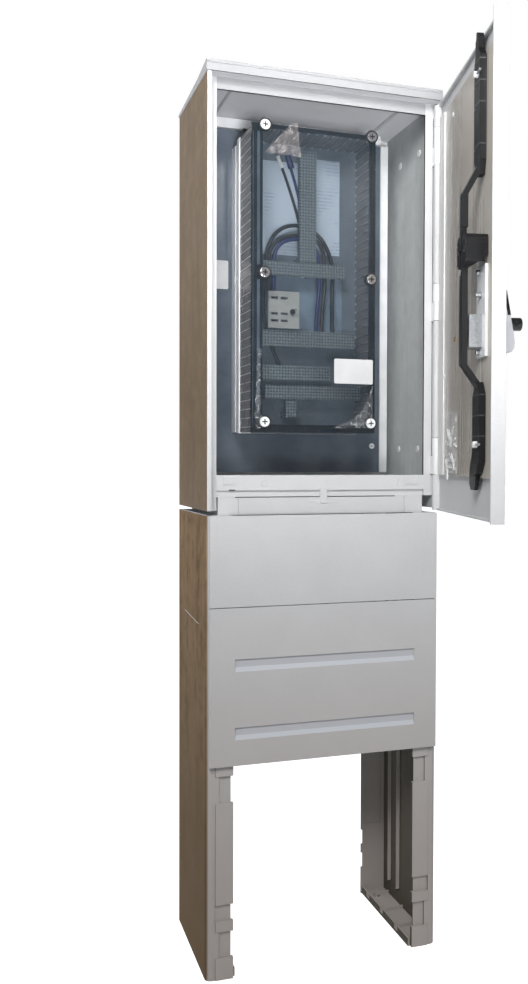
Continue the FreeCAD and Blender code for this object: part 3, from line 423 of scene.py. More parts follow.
def make_finishes():
    """Every finish of the cabinet by its key; the shell's tones and the labels' come from the panel."""
    finish = bpy.context.scene.cabinet_finish
    pale = finish.shell
    dark = finish.shell_mottle
    return {
        # hot-pressed polyester: pale and matt; darker and warmer near the ground, partly painted shade and
        # partly soil; dirt and painted shade on the outer left side; painted shade on the inner faces of the
        # right wall and right leg; dust dulling the legs; painted light and shade on single sides of the left
        # wall, the door and the roof
        "shell": polyester("Pressed_polyester", pale, dark),
        # plinth covers: darker and warmer towards the ground, partly painted shade and partly soil; painted
        # shade and painted light in the grips
        "plinth": polyester("Pressed_polyester_plinth_painted_shade_and_soil", pale, dark, low_shade_and_soil=finish.shell_low_shade_and_soil,
                            grip_shade_and_light=("#c3c5ca", "#d0d4da")),
        # left wall: dirt with painted shade on its outer left side; the faces that look into the cabinet are
        # painted lighter as painted light
        "side": polyester("Pressed_polyester_left_wall_dirt_and_painted_light", pale, dark,
                          stain_and_shade=(finish.grime_and_shade, "#65513a", "#7d694d"), turned=((1.0, 0.0, 0.0), "#e9eaed")),
        # left leg: dirt with painted shade on its outer left side; darker and warmer towards the ground, partly
        # painted shade and partly soil
        "leg": polyester("Pressed_polyester_left_leg_dirt_and_painted_shade", pale, dark, stain_and_shade=("#8f775b", "#6c583f", "#9c8367"),
                         low_shade_and_soil=finish.shell_low_shade_and_soil),
        # door: the outer face of the open leaf is painted darker as painted shade
        "door": polyester("Pressed_polyester_door_painted_shade", "#d0d1d3", "#c8c9cb",
                          turned=((math.sin(DOOR_OPEN), -math.cos(DOOR_OPEN), 0.0), "#abacaf")),
        # roof and lintel: a darker copy of the shell tone as painted shade; the faces that look down are
        # painted lighter as painted light
        "roof": polyester("Pressed_polyester_roof_painted_light", "#adaeb1", "#a5a6a9",
                          turned=((0.0, 0.0, -1.0), "#e3e4e8")),
        # right leg: its inner face, which looks into the plinth, painted darker as painted shade; darker and
        # warmer towards the ground, partly painted shade and partly soil; dust makes it rougher
        "foot": polyester("Pressed_polyester_right_leg_dust_and_painted_shade", pale, dark, stain_and_shade=("#77736b", "#5c5850", "#8b877f"),
                          low_shade_and_soil=finish.shell_low_shade_and_soil),
        # right wall: its inner face painted a darker grey as painted shade
        "right": polyester("Pressed_polyester_right_wall_painted_shade", pale, dark,
                           stain_and_shade=("#b0b4b5", "#a5a9ab", "#b9bdbf")),
        "liner": door_liner(),
        # injection-moulded polyamide: satin white clips and screws, grey bracket, near black latch and handle
        "white": moulded("White_polyamide", "#eceef0", "#e2e4e6"),
        "bracket": moulded("Grey_polyamide_bracket", "#a7aaa8", "#9a9d9b"),
        "black": moulded("Black_glass_filled_polyamide", "#0e0e10", "#161618", roughness=0.4,
                         Specular_IOR_Level=0.3),
        "black_gloss": moulded("Black_polyamide_satin", "#0f0f10", "#1a1a1c", roughness=0.25),
        # moulded polycarbonate: a clear pane, a smoky box, a near black rim, and ribs and their ends painted
        # pale as painted highlights, a pale tone that also serves the scratch on the left side
        "lid": clear_polycarbonate("Clear_polycarbonate_lid", ("#47525c", "#3a444d"), 0.04, Alpha=0.2),
        "smoke": clear_polycarbonate("Smoke_polycarbonate", ("#85868a", "#77787c"), 0.2, Alpha=0.8),
        "frame": moulded("Smoke_polycarbonate_lid_frame", "#22272d", "#1b2025", roughness=0.22),
        "body": moulded("Grey_polycarbonate_base", "#e8eaed", "#dcdee1", roughness=0.25),
        "flange": base_flange(),
        "rib": moulded("Smoke_polycarbonate_rib_highlight_and_scratch", "#c9cac8", "#bcbdbb", roughness=0.3, edge=0.2),
        "inner_rib": moulded("Smoke_polycarbonate_inner_rib", "#85868a", "#77787c", roughness=0.3, edge=0.2),
        "rib_end": moulded("Smoke_polycarbonate_rib_end_highlight", "#b9c0c6", "#a9b0b6", roughness=0.25, edge=0.2),
        "band": moulded("Tinted_polycarbonate_edge", "#46535f", "#3a4651", roughness=0.2, edge=0.2),
        # the raised lines of the glass-filled rods are painted paler as painted highlights
        "rod_rib": moulded("Black_polyamide_moulding_line_highlight", "#5a5b5e", "#48494c", roughness=0.35, edge=0.2),
        "plate": dark_plate(),
        "strip": perforated_steel(),
        # plated, turned and powder-coated metal: small glints, and the soft gloss of the handle
        "zinc": bare_metal("Zinc_plated_steel", "#c6c8ca", "#aeb2b6", 0.34),
        "chrome": bare_metal("Nickel_plated_screw", "#d4d4d6", "#bfc0c4", 0.22),
        "brass": bare_metal("Turned_brass", "#b08a52", "#987240", 0.4),
        "grip": moulded("Powder_coated_zinc_casting", "#bfc0c5", "#b6b7bc", roughness=0.4),
        # paper under the pane, the lower form a darker copy as painted shade; wires; creased film with painted
        # glints; blank vinyl; and dark rubber for the seal rings and the painted shadow lines in the seams
        "paper": printed_paper(),
        "form": moulded("Coated_paper_painted_shade", "#75879a", "#687a8c", roughness=0.6),
        "blue": sheath("PVC_sheath_blue", "#111b52", "#1a2660"),
        "brown": sheath("PVC_sheath_brown", "#1a0f0c", "#241916"),
        "dark": sheath("PVC_sheath_black", "#070708", "#121214"),
        "film": cellophane_with_painted_glints("Cellophane_wrap", "#bdb6b6", 0.2),
        "clear_film": cellophane_with_painted_glints("Cellophane_wrap_clear", "#e6e9ec", 0.06),
        "bag": cellophane_with_painted_glints("Polyethylene_bag", "#f4f6f7", 0.36),
        "label": moulded("Blank_vinyl_label", finish.label, "#c0c1c3", roughness=0.45, edge=0.2),
        "rubber": moulded("Rubber_seal_and_painted_shadow_gaps", "#17181a", "#232427", roughness=0.55),
    }


FINISHES = {}

NODE_FINISH = {
    "plinth_left_leg": "leg", "plinth_right_leg": "foot", "plinth_upper_cover": "plinth",
    "plinth_lower_cover": "plinth", "plinth_rear_cover": "plinth", "housing_left_wall": "side",
    "housing_right_wall": "right", "roof_cap": "roof", "lintel": "roof",
    "mounting_plate": "plate", "plate_rails": "white", "plate_standoffs": "zinc",
    "meter_shell": "smoke", "meter_lid": "lid", "meter_lid_frame": "frame", "meter_base_body": "body",
    "meter_base_feet": "white", "meter_base_flange": "flange", "meter_upright_strip": "strip",
    "meter_cross_strips": "strip", "terminal_bracket": "bracket", "wiring_papers": "paper",
    "door_leaf": "door", "door_liner": "liner", "door_knuckles": "white", "hinge_brackets": "white",
    "latch_gear_housing": "black", "latch_rod_upper": "black", "latch_rod_lower": "black",
    "latch_backing_plate": "white", "lock_case": "zinc",
    "handle_hub": "zinc", "handle_base": "grip", "handle_lever": "grip",
    "handle_inlay": "black_gloss", "handle_knob": "black_gloss",
    "cable_blue": "blue", "cable_brown": "brown", "cable_black": "dark", "spare_cable_blue": "blue",
    "spare_cable_dark": "dark", "lid_film": "film", "fixings_bag": "bag",
}

# Wires in the meter box: depth, diameter, finish, then width and height of each point, in millimetres.
LEADS = {
    "cable_blue": (-11.7, 8.0, "blue", (
        (-79, 1218), (-76, 1274), (-73, 1338), (-71, 1418), (18, 1424), (25, 1336), (17, 1274), (15, 1216))),
    "cable_brown": (-3.4, 8.0, "brown", (
        (-67, 1214), (-74, 1274), (-84, 1334), (-79, 1424), (31, 1437), (40, 1343), (31, 1274), (30, 1214))),
    "cable_black": (4.9, 8.0, "dark", (
        (-44, 1146), (-68, 1190), (-90.5, 1258), (-90.5, 1338), (-79, 1424),
        (-34, 1458), (28, 1442), (59.5, 1382), (56, 1305), (57, 1214))),
    "spare_cable_blue": (18.9, 6.0, "blue", (
        (-36, 1596), (-26, 1562), (-15, 1526), (-2, 1474), (5, 1424), (6, 1374), (5, 1350))),
    "spare_cable_dark": (18.9, 6.0, "dark", (
        (-57, 1594), (-43, 1560), (-27, 1516), (-12, 1468), (-4, 1420), (-3, 1372), (-4, 1350))),
}


# Settings

class CabinetFinish(bpy.types.PropertyGroup):
    """Colours that a user may change, each as sRGB hex."""
    shell: bpy.props.StringProperty(name="Shell", description="Pale tone of the polyester", default="#d2d3d5")
    shell_mottle: bpy.props.StringProperty(name="Shell mottle", description="Darker tone of the polyester",
                                           default="#cacbcd")
    # the tone painted low down stands partly for painted shade of the light falling off downwards, partly for
    # soil
    shell_low_shade_and_soil: bpy.props.StringProperty(name="Shell low down", description="Warmer tone near the ground",
                                        default="#bab3ae")
    # the outer left side's tone: partly dirt, partly painted shade
    grime_and_shade: bpy.props.StringProperty(name="Grime", description="Stain on the outer left side",
                                    default="#715c41")
    label: bpy.props.StringProperty(name="Label", description="Blank labels", default="#c6c7c9")


class CabinetSizes(bpy.types.PropertyGroup):
    """Sizes of the small parts that a user may change."""
    label_width: bpy.props.FloatProperty(name="Label width", description="Blank label on the lid",
                                         default=0.082, unit="LENGTH", subtype="DISTANCE")
    label_height: bpy.props.FloatProperty(name="Label height", description="Blank label on the lid",
                                          default=0.049, unit="LENGTH", subtype="DISTANCE")
    screw_head: bpy.props.FloatProperty(name="Lid screw head", description="Radius of a lid screw's head",
                                        default=0.0098, unit="LENGTH", subtype="DISTANCE")
    rib_pitch: bpy.props.FloatProperty(name="Rib pitch", description="Between ribs on the meter box's sides",
                                       default=0.0174, unit="LENGTH", subtype="DISTANCE")


class CabinetStep:
    """What every operator of this file shares."""
    bl_options = {"REGISTER", "UNDO"}


class CABINET_OT_stage(CabinetStep, bpy.types.Operator):
    """Makes the camera of the reference view, the lamps and the pale floor"""
    bl_idname = "cabinet.stage"
    bl_label = "Camera, lamps and floor"

    def execute(self, context):
        camera = bpy.data.objects.new("Camera", bpy.data.cameras.new("Camera"))
        context.scene.collection.objects.link(camera)
        camera.data.lens = 36.69
        camera.data.shift_x = -0.07306
        camera.data.shift_y = -0.01232
        yaw, pitch, roll = 0.337971, 0.021091, 0.003848
        right = Vector((math.cos(yaw), -math.sin(yaw), 0.0))
        ahead = Vector((math.sin(yaw) * math.cos(pitch), math.cos(yaw) * math.cos(pitch), -math.sin(pitch)))
        up = right.cross(ahead)
        side = right * math.cos(roll) + up * math.sin(roll)
        top = up * math.cos(roll) - right * math.sin(roll)
        turn = Matrix((side, top, -ahead)).transposed()
        camera.matrix_world = Matrix.Translation((-0.6233, -1.9575, 0.9789)) @ turn.to_4x4()
        context.scene.camera = camera
        self.lamp(context, "Key", (-0.9, -1.85, 2.35), (0.05, 0.0, 1.5), 0.9, 13.6, "#fffefc", 85.0)
        self.lamp(context, "Right", (2.4, -2.0, 2.5), (0.2, -0.4, 1.3), 1.5, 7.0, "#f6f8ff")
        self.lamp(context, "Back_left", (-2.0, 2.4, 2.4), (0.0, 0.0, 0.9), 1.8, 20.0, "#ffffff")
        self.lamp(context, "Back_right", (1.8, 2.6, 2.4), (0.0, 0.0, 0.9), 1.8, 20.0, "#ffffff")
        self.lamp(context, "Fill", (-0.45, -2.35, 0.72), (0.0, 0.0, 1.6), 0.5, 2.2, "#ffffff", 36.0)
        self.surroundings(context)
        context.scene.view_settings.view_transform = "Standard"
        return {"FINISHED"}

    def lamp(self, context, name, where, at, size, watts, colour, spread=180.0):
        lamp = bpy.data.lights.new(name, "AREA")
        lamp.size = size
        lamp.energy = watts
        lamp.spread = math.radians(spread)
        lamp.color = linear(colour)[:3]
        obj = bpy.data.objects.new(name, lamp)
        obj.location = where
        obj.rotation_euler = (Vector(at) - Vector(where)).to_track_quat("-Z", "Y").to_euler()
        context.scene.collection.objects.link(obj)

    def surroundings(self, context):
        # painted studio floor: it reads white to the camera and in gloss, and keeps the shadow
        material, tree, shader, _ = new_material("Studio_floor_paint", Roughness=0.9,
                                                 Base_Color=linear("#e4e4e4"))
        rays = add_node(tree, "LightPath").outputs
        seen = add_node(tree, "Math", [(0, rays["Is Camera Ray"]), (1, rays["Is Glossy Ray"])],
                        operation="MAXIMUM").outputs[0]
        either = add_node(tree, "Math", [(0, seen), (1, rays["Is Transmission Ray"])],
                          operation="MAXIMUM").outputs[0]
        level = add_node(tree, "Math", [(0, either), (1, 0.96)], operation="MULTIPLY").outputs[0]
        glow = add_node(tree, "Emission", [("Strength", level)])
        both = add_node(tree, "AddShader", [(0, glow.outputs[0]), (1, shader.outputs[0])])
        tree.links.new(both.outputs[0], tree.nodes["Material Output"].inputs["Surface"])
        bm = bmesh.new()
        bmesh.ops.create_grid(bm, x_segments=1, y_segments=1, size=30.0)
        mesh = bpy.data.meshes.new("Floor")
        bm.to_mesh(mesh)
        bm.free()
        mesh.materials.append(material)
        floor = bpy.data.objects.new("Floor", mesh)
        context.scene.collection.objects.link(floor)
        world = bpy.data.worlds.new("Studio")
        world.use_nodes = True
        context.scene.world = world
        tree = world.node_tree
        rays = add_node(tree, "LightPath").outputs
        seen = add_node(tree, "Math", [(0, rays["Is Camera Ray"]), (1, rays["Is Transmission Ray"])],
                        operation="MAXIMUM").outputs[0]
        back = tree.nodes["Background"]
        back.inputs["Color"].default_value = linear("#d9dbde")
        back.inputs["Strength"].default_value = 0.42
        white = add_node(tree, "Background", Color=(1.0, 1.0, 1.0, 1.0), Strength=1.0)
        mix = add_node(tree, "MixShader", [(0, seen), (1, back.outputs[0]), (2, white.outputs[0])])
        tree.links.new(mix.outputs[0], tree.nodes["World Output"].inputs["Surface"])


class CABINET_OT_finishes(CabinetStep, bpy.types.Operator):
    """Makes the materials and gives every solid of the frame its own"""
    bl_idname = "cabinet.finishes"
    bl_label = "Finishes"

    def execute(self, context):
        FINISHES.update(make_finishes())
        for name, obj in nodes.items():
            finish = FINISHES[NODE_FINISH.get(name, "shell")]
            if not obj.material_slots:
                obj.data.materials.append(finish)
            for slot in obj.material_slots:
                slot.material = finish
        return {"FINISHED"}


class CABINET_OT_leads(CabinetStep, bpy.types.Operator):
    """Makes the five wires in the meter box, each on one smooth line with a crimped sleeve at its ends"""
    bl_idname = "cabinet.leads"
    bl_label = "Wires"

    def execute(self, context):
        for name, (y, diameter, finish, route) in LEADS.items():
            self.lead(context, name, y, diameter, finish, route)
        return {"FINISHED"}

    def lead(self, context, name, y, diameter, finish, route):
        curve = bpy.data.curves.new(name + "_wire", "CURVE")
        curve.dimensions = "3D"
        spline = curve.splines.new("NURBS")
        spline.points.add(len(route) - 1)
        points = [Vector((x, y, z)) * MM for x, z in route]
        for point, at in zip(spline.points, points):
            point.co = (*at, 1.0)
        spline.order_u = 3
        spline.use_endpoint_u = True
        spline.resolution_u = 12
        curve.bevel_depth = diameter * MM / 2.0
        curve.bevel_resolution = 5
        curve.use_fill_caps = True
        wire = bpy.data.objects.new(name + "_wire", curve)
        context.scene.collection.objects.link(wire)
        curve.materials.append(FINISHES[finish])
        sleeves = self.sleeves(name, points, diameter)
        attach(wire, "cabinet")
        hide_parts(name)
        bare = curve.copy()
        bare.bevel_depth = 0.0
        line = bpy.data.objects.new("line", bare)
        mesh = bpy.data.meshes.new_from_object(line)
        bpy.data.objects.remove(line)

    def sleeves(self, name, points, diameter):
        # the spare tails have a long cap at their upper end, the blue one a thick cap that stands forward
        bm = bmesh.new()
        spare = diameter < 7.0
        cap = 3.4 if name == "spare_cable_blue" else 0.7
        for end, inner in ((points[0], points[1]), (points[-1], points[-2])):
            capped = spare and end == points[0]
            thick, reach = (cap, 26.0) if capped else (0.6, 9.0)
            start = end / MM
            forward = max(thick - 0.7, 0.0)
            add_disc(bm, start.x, start.y - FRONT - forward, start.z, diameter * 0.5 + thick, reach,
                     towards=(inner - end).normalized(), edge=1.0, segments=24)
        finish = {"spare_cable_blue": "blue", "spare_cable_dark": "white"}.get(name, "chrome")
        return piece(bm, name + "_sleeves", finish)


class CABINET_OT_lid_screws(CabinetStep, bpy.types.Operator):
    """Makes the six cross-head screws of the lid, each in its dark seal ring"""
    bl_idname = "cabinet.lid_screws"
    bl_label = "Lid screws"

    def execute(self, context):
        head = context.scene.cabinet_sizes.screw_head / MM
        rings = bmesh.new()
        heads = bmesh.new()
        plated = bmesh.new()
        slots = bmesh.new()
        for x in (-110.0, 110.0):
            for z in (1621.0, 1338.0, 1050.0):
                add_ring(rings, x, LID_FACE, z, head + 0.3, head + 3.0, 2.4)
                plain = (x, z) not in ((-110.0, 1338.0), (110.0, 1338.0), (110.0, 1621.0))
                add_disc(heads if plain else plated, x, LID_FACE, z, head, 2.6, edge=1.0)
                # the cross recesses are flat black plates just proud of the heads: painted shade
                add_block(slots, x - 5.2, x + 5.2, LID_FACE - 2.75, LID_FACE - 2.5, z - 1.2, z + 1.2)
                add_block(slots, x - 1.2, x + 1.2, LID_FACE - 2.76, LID_FACE - 2.5, z - 5.2, z + 5.2)
        piece(rings, "lid_screw_rings", "rubber", smooth=True)
        piece(heads, "lid_screw_heads", "white")
        piece(plated, "lid_screw_plated_heads", "chrome")
        piece(slots, "lid_screw_recess_shade", "black")
        return {"FINISHED"}


class CABINET_OT_shell_ribs(CabinetStep, bpy.types.Operator):
    """Makes the moulded ribs round the sides of the meter box"""
    bl_idname = "cabinet.shell_ribs"
    bl_label = "Meter box ribs"

    def execute(self, context):
        pitch = context.scene.cabinet_sizes.rib_pitch / MM
        outer = bmesh.new()
        inner = bmesh.new()
        ends = bmesh.new()
        z = 1040.0
        while z < 1616.0:
            add_block(outer, -134.7, -133.9, 70.0, 161.0, z, z + 1.0)
            add_block(outer, 116.9, 117.7, 70.0, 161.0, z, z + 1.0)
            for x in (-131.1, 112.7):
                add_block(inner, x, x + 1.4, 72.0, 161.0, z, z + 2.2)
            for depth in (72.0, 156.0):
                add_block(ends, 111.9, 113.2, depth, depth + 3.0, z - 1.5, z + 4.0, edge=0.4)
            z += pitch
        x = -124.0
        while x < 110.0:
            add_block(outer, x, x + 1.0, 70.0, 161.0, 1621.9, 1622.7)
            add_block(inner, x, x + 2.2, 72.0, 161.0, 1617.2, 1618.8)
            for depth in (72.0, 156.0):
                add_block(ends, x - 1.5, x + 4.0, depth, depth + 3.0, 1616.4, 1617.6, edge=0.4)
            x += pitch
        # the outer ribs and the ends of the inner ribs are pale: painted highlights on the smoky box
        piece(outer, "shell_ribs", "rib")
        piece(inner, "shell_inner_ribs", "inner_rib")
        piece(ends, "shell_rib_end_highlights", "rib_end")
        bands = bmesh.new()
        add_block(bands, -134.6, -133.2, LID_FACE - 0.4, LID_FACE, 1040.0, 1608.0)
        add_block(bands, -126.0, -120.4, LID_FACE - 0.4, LID_FACE, 1064.0, 1324.0)
        add_block(bands, -126.0, -120.4, LID_FACE - 0.4, LID_FACE, 1352.0, 1607.0)
        piece(bands, "lid_edge_bands", "band")
        hook = bmesh.new()
        add_block(hook, -134.0, -116.0, 140.0, 160.0, 1622.0, 1636.0, edge=1.5)
        piece(hook, "shell_top_catch", "black")
        return {"FINISHED"}


class CABINET_OT_labels(CabinetStep, bpy.types.Operator):
    """Makes the blank labels on the lid and the mounting plate, and the blank form low in the meter box"""
    bl_idname = "cabinet.labels"
    bl_label = "Blank labels"

    def execute(self, context):
        sizes = context.scene.cabinet_sizes
        width = sizes.label_width / MM
        height = sizes.label_height / MM
        bm = bmesh.new()
        self.card(bm, 73.0 - width / 2.0, 73.0 + width / 2.0, LID_FACE, 1152.5 - height / 2.0,
                  1152.5 + height / 2.0)
        self.card(bm, -195.0, -141.0, PLATE_FACE, 1331.0, 1390.0)
        piece(bm, "blank_labels", "label")
        form = bmesh.new()
        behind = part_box("wiring_papers")[1].y / MM - FRONT
        self.card(form, -88.0, 84.0, behind, 1232.0, 1352.0)
        # the lower form is a darker copy of the paper: painted shade
        paper = piece(form, "lower_form", "form")
        return {"FINISHED"}

    def card(self, bm, x0, x1, depth, z0, z1):
        centre = (place(x0, depth, z0) + place(x1, depth - 0.5, z1)) / 2.0
        matrix = Matrix.Translation(centre) @ Matrix.Diagonal(((x1 - x0) * MM, 0.5 * MM, (z1 - z0) * MM, 1.0))
        made = bmesh.ops.create_cube(bm, size=1.0, matrix=matrix)["verts"]
        corners = [e for v in made for e in v.link_edges
                   if abs((e.verts[0].co - e.verts[1].co).normalized().y) > 0.9]
        bmesh.ops.bevel(bm, geom=list(set(corners)), offset=3.0 * MM, offset_type="OFFSET", segments=5,
                        profile=0.5, affect="EDGES", material=-1, clamp_overlap=True)


class CABINET_OT_plate_screws(CabinetStep, bpy.types.Operator):
    """Makes the screws that hold the mounting plate and the bosses on the housing's inner wall"""
    bl_idname = "cabinet.plate_screws"
    bl_label = "Plate screws and bosses"

    def execute(self, context):
        bm = bmesh.new()
        slots = bmesh.new()
        for x in (-181.0, 181.0):
            for z in (1007.0, 1610.0):
                add_disc(bm, x, PLATE_FACE, z, 6.0, 3.0, edge=1.2)
                # the slots are flat black plates just proud of the heads: painted shade
                add_block(slots, x - 3.6, x + 3.6, PLATE_FACE - 3.2, PLATE_FACE - 2.9, z - 0.8, z + 0.8)
        piece(bm, "plate_screw_heads", "white")
        piece(slots, "plate_screw_slot_shade", "black")
        bosses = bmesh.new()
        for depth, z in ((100.0, 1612.0), (200.0, 1612.0), (100.0, 1000.0), (200.0, 1000.0)):
            add_disc(bosses, 231.0, depth, z, 7.0, 2.0, towards=(-1, 0, 0), edge=0.8)
            add_disc(bosses, -231.0, depth, z, 7.0, 2.0, towards=(1, 0, 0), edge=0.8)
        piece(bosses, "wall_bosses", "shell")
        return {"FINISHED"}


class CABINET_OT_film(CabinetStep, bpy.types.Operator):
    """Makes the crumpled wrapping film left at the top, the lower corner and the left edge of the lid; the
    strip at the left edge carries painted reflections
    """
    bl_idname = "cabinet.film"
    bl_label = "Crumpled film"

    def execute(self, context):
        top = self.crumple("film_top", ((-113.0, 1567.0), (-39.0, 1565.0), (-46.0, 1629.0), (-57.0, 1629.0)),
                           3)
        self.crumple("film_low", ((26.0, 1040.0), (112.0, 1040.0), (113.0, 1128.0), (92.0, 1062.0)), 11)
        # a strip of film at the lid's left edge, its bright creases standing for the reflections on that edge:
        # painted reflection
        self.crumple("film_edge_painted_reflection", ((-130.0, 1036.0), (-119.0, 1036.0), (-119.0, 1190.0), (-126.0, 1190.0)),
                     17)
        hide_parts("lid_film")
        return {"FINISHED"}

    def crumple(self, name, corners, seed):
        low_left, low_right, high_right, high_left = [Vector((x, 0.0, z)) for x, z in corners]
        bm = bmesh.new()
        bmesh.ops.create_grid(bm, x_segments=60, y_segments=60, size=0.5)
        for vert in bm.verts:
            u = vert.co.x + 0.5
            v = vert.co.y + 0.5
            at = low_left.lerp(low_right, u).lerp(high_left.lerp(high_right, u), v)
            here = Vector((at.x, at.z, seed * 37.0))
            waver = 3.0 * noise.noise(here * 0.08) * (abs(u - 0.5) + abs(v - 0.5))
            fold = 7.0 * abs(noise.noise(here * 0.05)) + 4.0 * abs(noise.noise(here * 0.13))
            vert.co = place(at.x + waver, LID_FACE - 0.4 - fold, at.z + waver)
        area = sum(face.calc_area() for face in bm.faces)
        obj = piece(bm, name, "film" if name == "film_top" else "clear_film")
        thickness = obj.modifiers.new("Film thickness", "SOLIDIFY")
        thickness.thickness = 0.0002
        return obj


class CABINET_OT_bag(CabinetStep, bpy.types.Operator):
    """Makes the clear bag of fixings taped to the door's liner, with its plugs"""
    bl_idname = "cabinet.bag"
    bl_label = "Bag of fixings"

    def execute(self, context):
        bm = bmesh.new()
        bmesh.ops.create_grid(bm, x_segments=40, y_segments=48, size=0.5)
        for vert in bm.verts:
            u = vert.co.x + 0.5
            v = vert.co.y + 0.5
            x = 58.0 + 92.0 * u
            z = 952.0 + 114.0 * v
            rise = min(u, v, 1.0 - u, 1.0 - v)
            swell = 6.0 * math.sin(min(rise * 3.2, 1.0) * math.pi / 2.0)
            crease = 2.2 * abs(noise.noise(Vector((x, z, 5.0)) * 0.07)) * min(rise * 12.0, 1.0)
            vert.co = place(x, LINER_FACE + 0.6 + swell + crease, z)
        bag = piece(bm, "bag_of_fixings", "bag", body="door")
        thickness = bag.modifiers.new("Film thickness", "SOLIDIFY")
        thickness.thickness = 0.0003
        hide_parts("fixings_bag")
        # the white plugs spread over the bag's full height stand partly for the white streaks of light on the
        # bag: partly painted glints
        plugs = bmesh.new()
        for i in range(16):
            x = 70.0 + 8.2 * (i % 9)
            z = 960.0 + 9.0 * (i % 3) + 4.0 * (i % 2) + 42.0 * (i // 9)
            way = Euler((0.0, 0.5 * i, 0.0)).to_matrix() @ Vector((0, 0, 1))
            add_disc(plugs, x, LINER_FACE + 3.4, z, 2.2, 20.0, towards=way, edge=0.4, segments=12, top=1.6)
        piece(plugs, "fixings_in_bag_and_glints", "white", body="door")
        return {"FINISHED"}


class CABINET_OT_door_details(CabinetStep, bpy.types.Operator):
    """Makes the buttons, the brass boss and the marks on the inner face of the door"""
    bl_idname = "cabinet.door_details"
    bl_label = "Door buttons and marks"

    def execute(self, context):
        buttons = bmesh.new()
        for x, z in ((177.0, 1357.0), (162.0, 1137.0), (105.0, 1620.0)):
            add_disc(buttons, x, LINER_FACE, z, 4.5, 1.6, towards=(0, 1, 0), edge=0.6, segments=24)
        piece(buttons, "liner_buttons", "white", body="door")
        boss = bmesh.new()
        add_disc(boss, 81.0, LINER_FACE, 1200.0, 4.5, 1.6, towards=(0, 1, 0), edge=0.6)
        piece(boss, "earth_boss", "brass", body="door")
        marks = bmesh.new()
        for z in (1646.0, 1600.0, 1560.0, 1520.0, 1280.0, 1240.0, 1210.0, 1020.0, 990.0):
            add_block(marks, 178.0, 206.0, 9.9, 10.5, z, z + 1.4)
        piece(marks, "liner_band_marks", "liner", body="door")
        return {"FINISHED"}


class CABINET_OT_latch_fittings(CabinetStep, bpy.types.Operator):
    """Makes the guide studs of the latch rods, the case screws and the ribs of the gear housing"""
    bl_idname = "cabinet.latch_fittings"
    bl_label = "Latch studs, screws and ribs"

    def execute(self, context):
        for body, x, z in (("upper_rod", -116.0, 1610.0), ("lower_rod", -124.0, 1003.0)):
            stud = bmesh.new()
            pin = bmesh.new()
            add_disc(stud, x, 19.6, z, 5.5, 7.6, towards=(0, 1, 0), edge=1.2, segments=24)
            add_disc(pin, x, 23.0, z, 2.0, 26.0, towards=(-1, 0, 0), edge=0.4, segments=16)
            piece(stud, body + "_stud", "white", body=body)
            piece(pin, body + "_pin", "zinc", body=body)
        screws = bmesh.new()
        for z in (1288.0, 1156.0):
            add_disc(screws, -106.0, 12.0, z, 5.0, 6.0, towards=(0, 1, 0), edge=1.0, segments=24)
        piece(screws, "case_screws", "chrome", body="door")
        ribs = bmesh.new()
        for i in range(6):
            z = 1300.0 + 7.0 * i
            for x0, x1 in ((-144.4, -125.4), (-101.4, -88.6)):
                add_block(ribs, x0, x1, 45.8, 46.9, z, z + 2.6, edge=0.4)
            add_block(ribs, -145.6, -144.8, 14.0, 44.0, z, z + 2.6, edge=0.3)
        piece(ribs, "gear_housing_ribs", "black", body="door")
        # the raised lines across the rods take a paler tone: painted highlights
        for body, left, heights in (("upper_rod", -130.0, (1632.0, 1597.0, 1562.0, 1494.0)),
                                    ("lower_rod", -136.0, (1084.0, 1050.0, 1016.0))):
            lines = bmesh.new()
            for z in heights:
                add_block(lines, left - 0.5, -103.6, 9.6, 20.6, z, z + 1.6)
                add_block(lines, -103.6, -78.6, 9.6, 16.6, z, z + 1.6)
            piece(lines, body + "_ribs", "rod_rib", body=body)
        return {"FINISHED"}


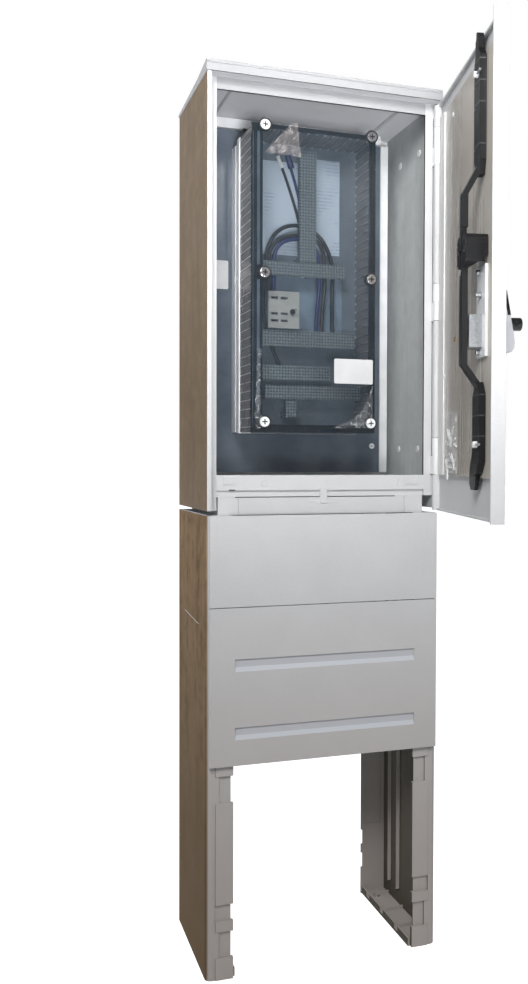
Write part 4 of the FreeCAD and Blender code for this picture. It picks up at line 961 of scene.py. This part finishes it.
class CABINET_OT_relief(CabinetStep, bpy.types.Operator):
    """Makes the ceiling gussets, the sill's relief, the dark seams of painted shadow, the scratch and the
    bracket's screw
    """
    bl_idname = "cabinet.relief"
    bl_label = "Relief, seams and scratch"

    def execute(self, context):
        bm = bmesh.new()
        for side in (-1.0, 1.0):
            add_block(bm, side * 173.0 - 2.0, side * 173.0 + 2.0, 60.0, 230.0, 1680.0, 1688.0, edge=0.8)
        for x in (156.0, 164.0, 172.0):
            add_block(bm, x, x + 2.0, 26.6, 28.2, 926.0, 941.0, edge=0.5)
        add_disc(bm, -118.0, 28.0, 932.0, 7.0, 0.8, edge=0.4)
        piece(bm, "moulded_relief", "shell")
        # thin dark strips along the right jamb, under the lintel, at the sill and under the roof's front edge:
        # painted shadow in the seams
        gaps = bmesh.new()
        lintel_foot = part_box("lintel")[0].z / MM
        add_block(gaps, 210.8, 212.0, 28.4, 31.0, 948.0, lintel_foot)
        add_block(gaps, -211.0, 211.0, 28.4, 31.0, lintel_foot - 1.2, lintel_foot)
        add_block(gaps, -176.0, 150.0, 27.7, 28.2, 904.6, 906.2)
        add_block(gaps, -188.0, -176.0, 27.6, 28.2, 918.0, 920.0)
        add_block(gaps, 228.6, 229.5, 27.4, 28.2, 950.0, 1660.0)
        add_block(gaps, -231.0, 231.0, -0.1, 0.6, 1687.2, 1688.2)
        piece(gaps, "painted_shadow_gaps", "rubber")
        scratch = bmesh.new()
        for i in range(8):
            add_block(scratch, -235.15, -234.9, 81.0 + 17.0 * i, 98.0 + 17.0 * i, 661.0 + i, 662.2 + i)
        piece(scratch, "side_scratch", "rib")
        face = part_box("terminal_bracket")[0].y / MM - FRONT
        knob = bmesh.new()
        add_disc(knob, -42.5, face, 1270.0, 5.5, 1.5, edge=0.6)
        piece(knob, "terminal_screw", "black")
        return {"FINISHED"}


class CABINET_PT_parts(bpy.types.Panel):
    """Lists the steps that dress the cabinet"""
    bl_label = "Cabinet"
    bl_idname = "CABINET_PT_parts"
    bl_space_type = "VIEW_3D"
    bl_region_type = "UI"
    bl_category = "Cabinet"

    def draw(self, context):
        for name in ("shell", "shell_mottle", "shell_low_shade_and_soil", "grime_and_shade", "label"):
            self.layout.prop(context.scene.cabinet_finish, name)
        for name in ("label_width", "label_height", "screw_head", "rib_pitch"):
            self.layout.prop(context.scene.cabinet_sizes, name)
        for step in STEPS:
            self.layout.operator(step.bl_idname)


STEPS = (
    CABINET_OT_stage, CABINET_OT_finishes, CABINET_OT_leads, CABINET_OT_lid_screws, CABINET_OT_shell_ribs,
    CABINET_OT_labels, CABINET_OT_plate_screws, CABINET_OT_film, CABINET_OT_bag, CABINET_OT_door_details,
    CABINET_OT_latch_fittings, CABINET_OT_relief,
)
CLASSES = (CabinetFinish, CabinetSizes, *STEPS, CABINET_PT_parts)


def register():
    for each in CLASSES:
        bpy.utils.register_class(each)
    bpy.types.Scene.cabinet_finish = bpy.props.PointerProperty(type=CabinetFinish)
    bpy.types.Scene.cabinet_sizes = bpy.props.PointerProperty(type=CabinetSizes)


def unregister():
    del bpy.types.Scene.cabinet_sizes
    del bpy.types.Scene.cabinet_finish
    for each in reversed(CLASSES):
        bpy.utils.unregister_class(each)


def main():
    register()
    for step in STEPS:
        group, name = step.bl_idname.split(".")
        getattr(getattr(bpy.ops, group), name)()


if __name__ == "__main__":
    main()
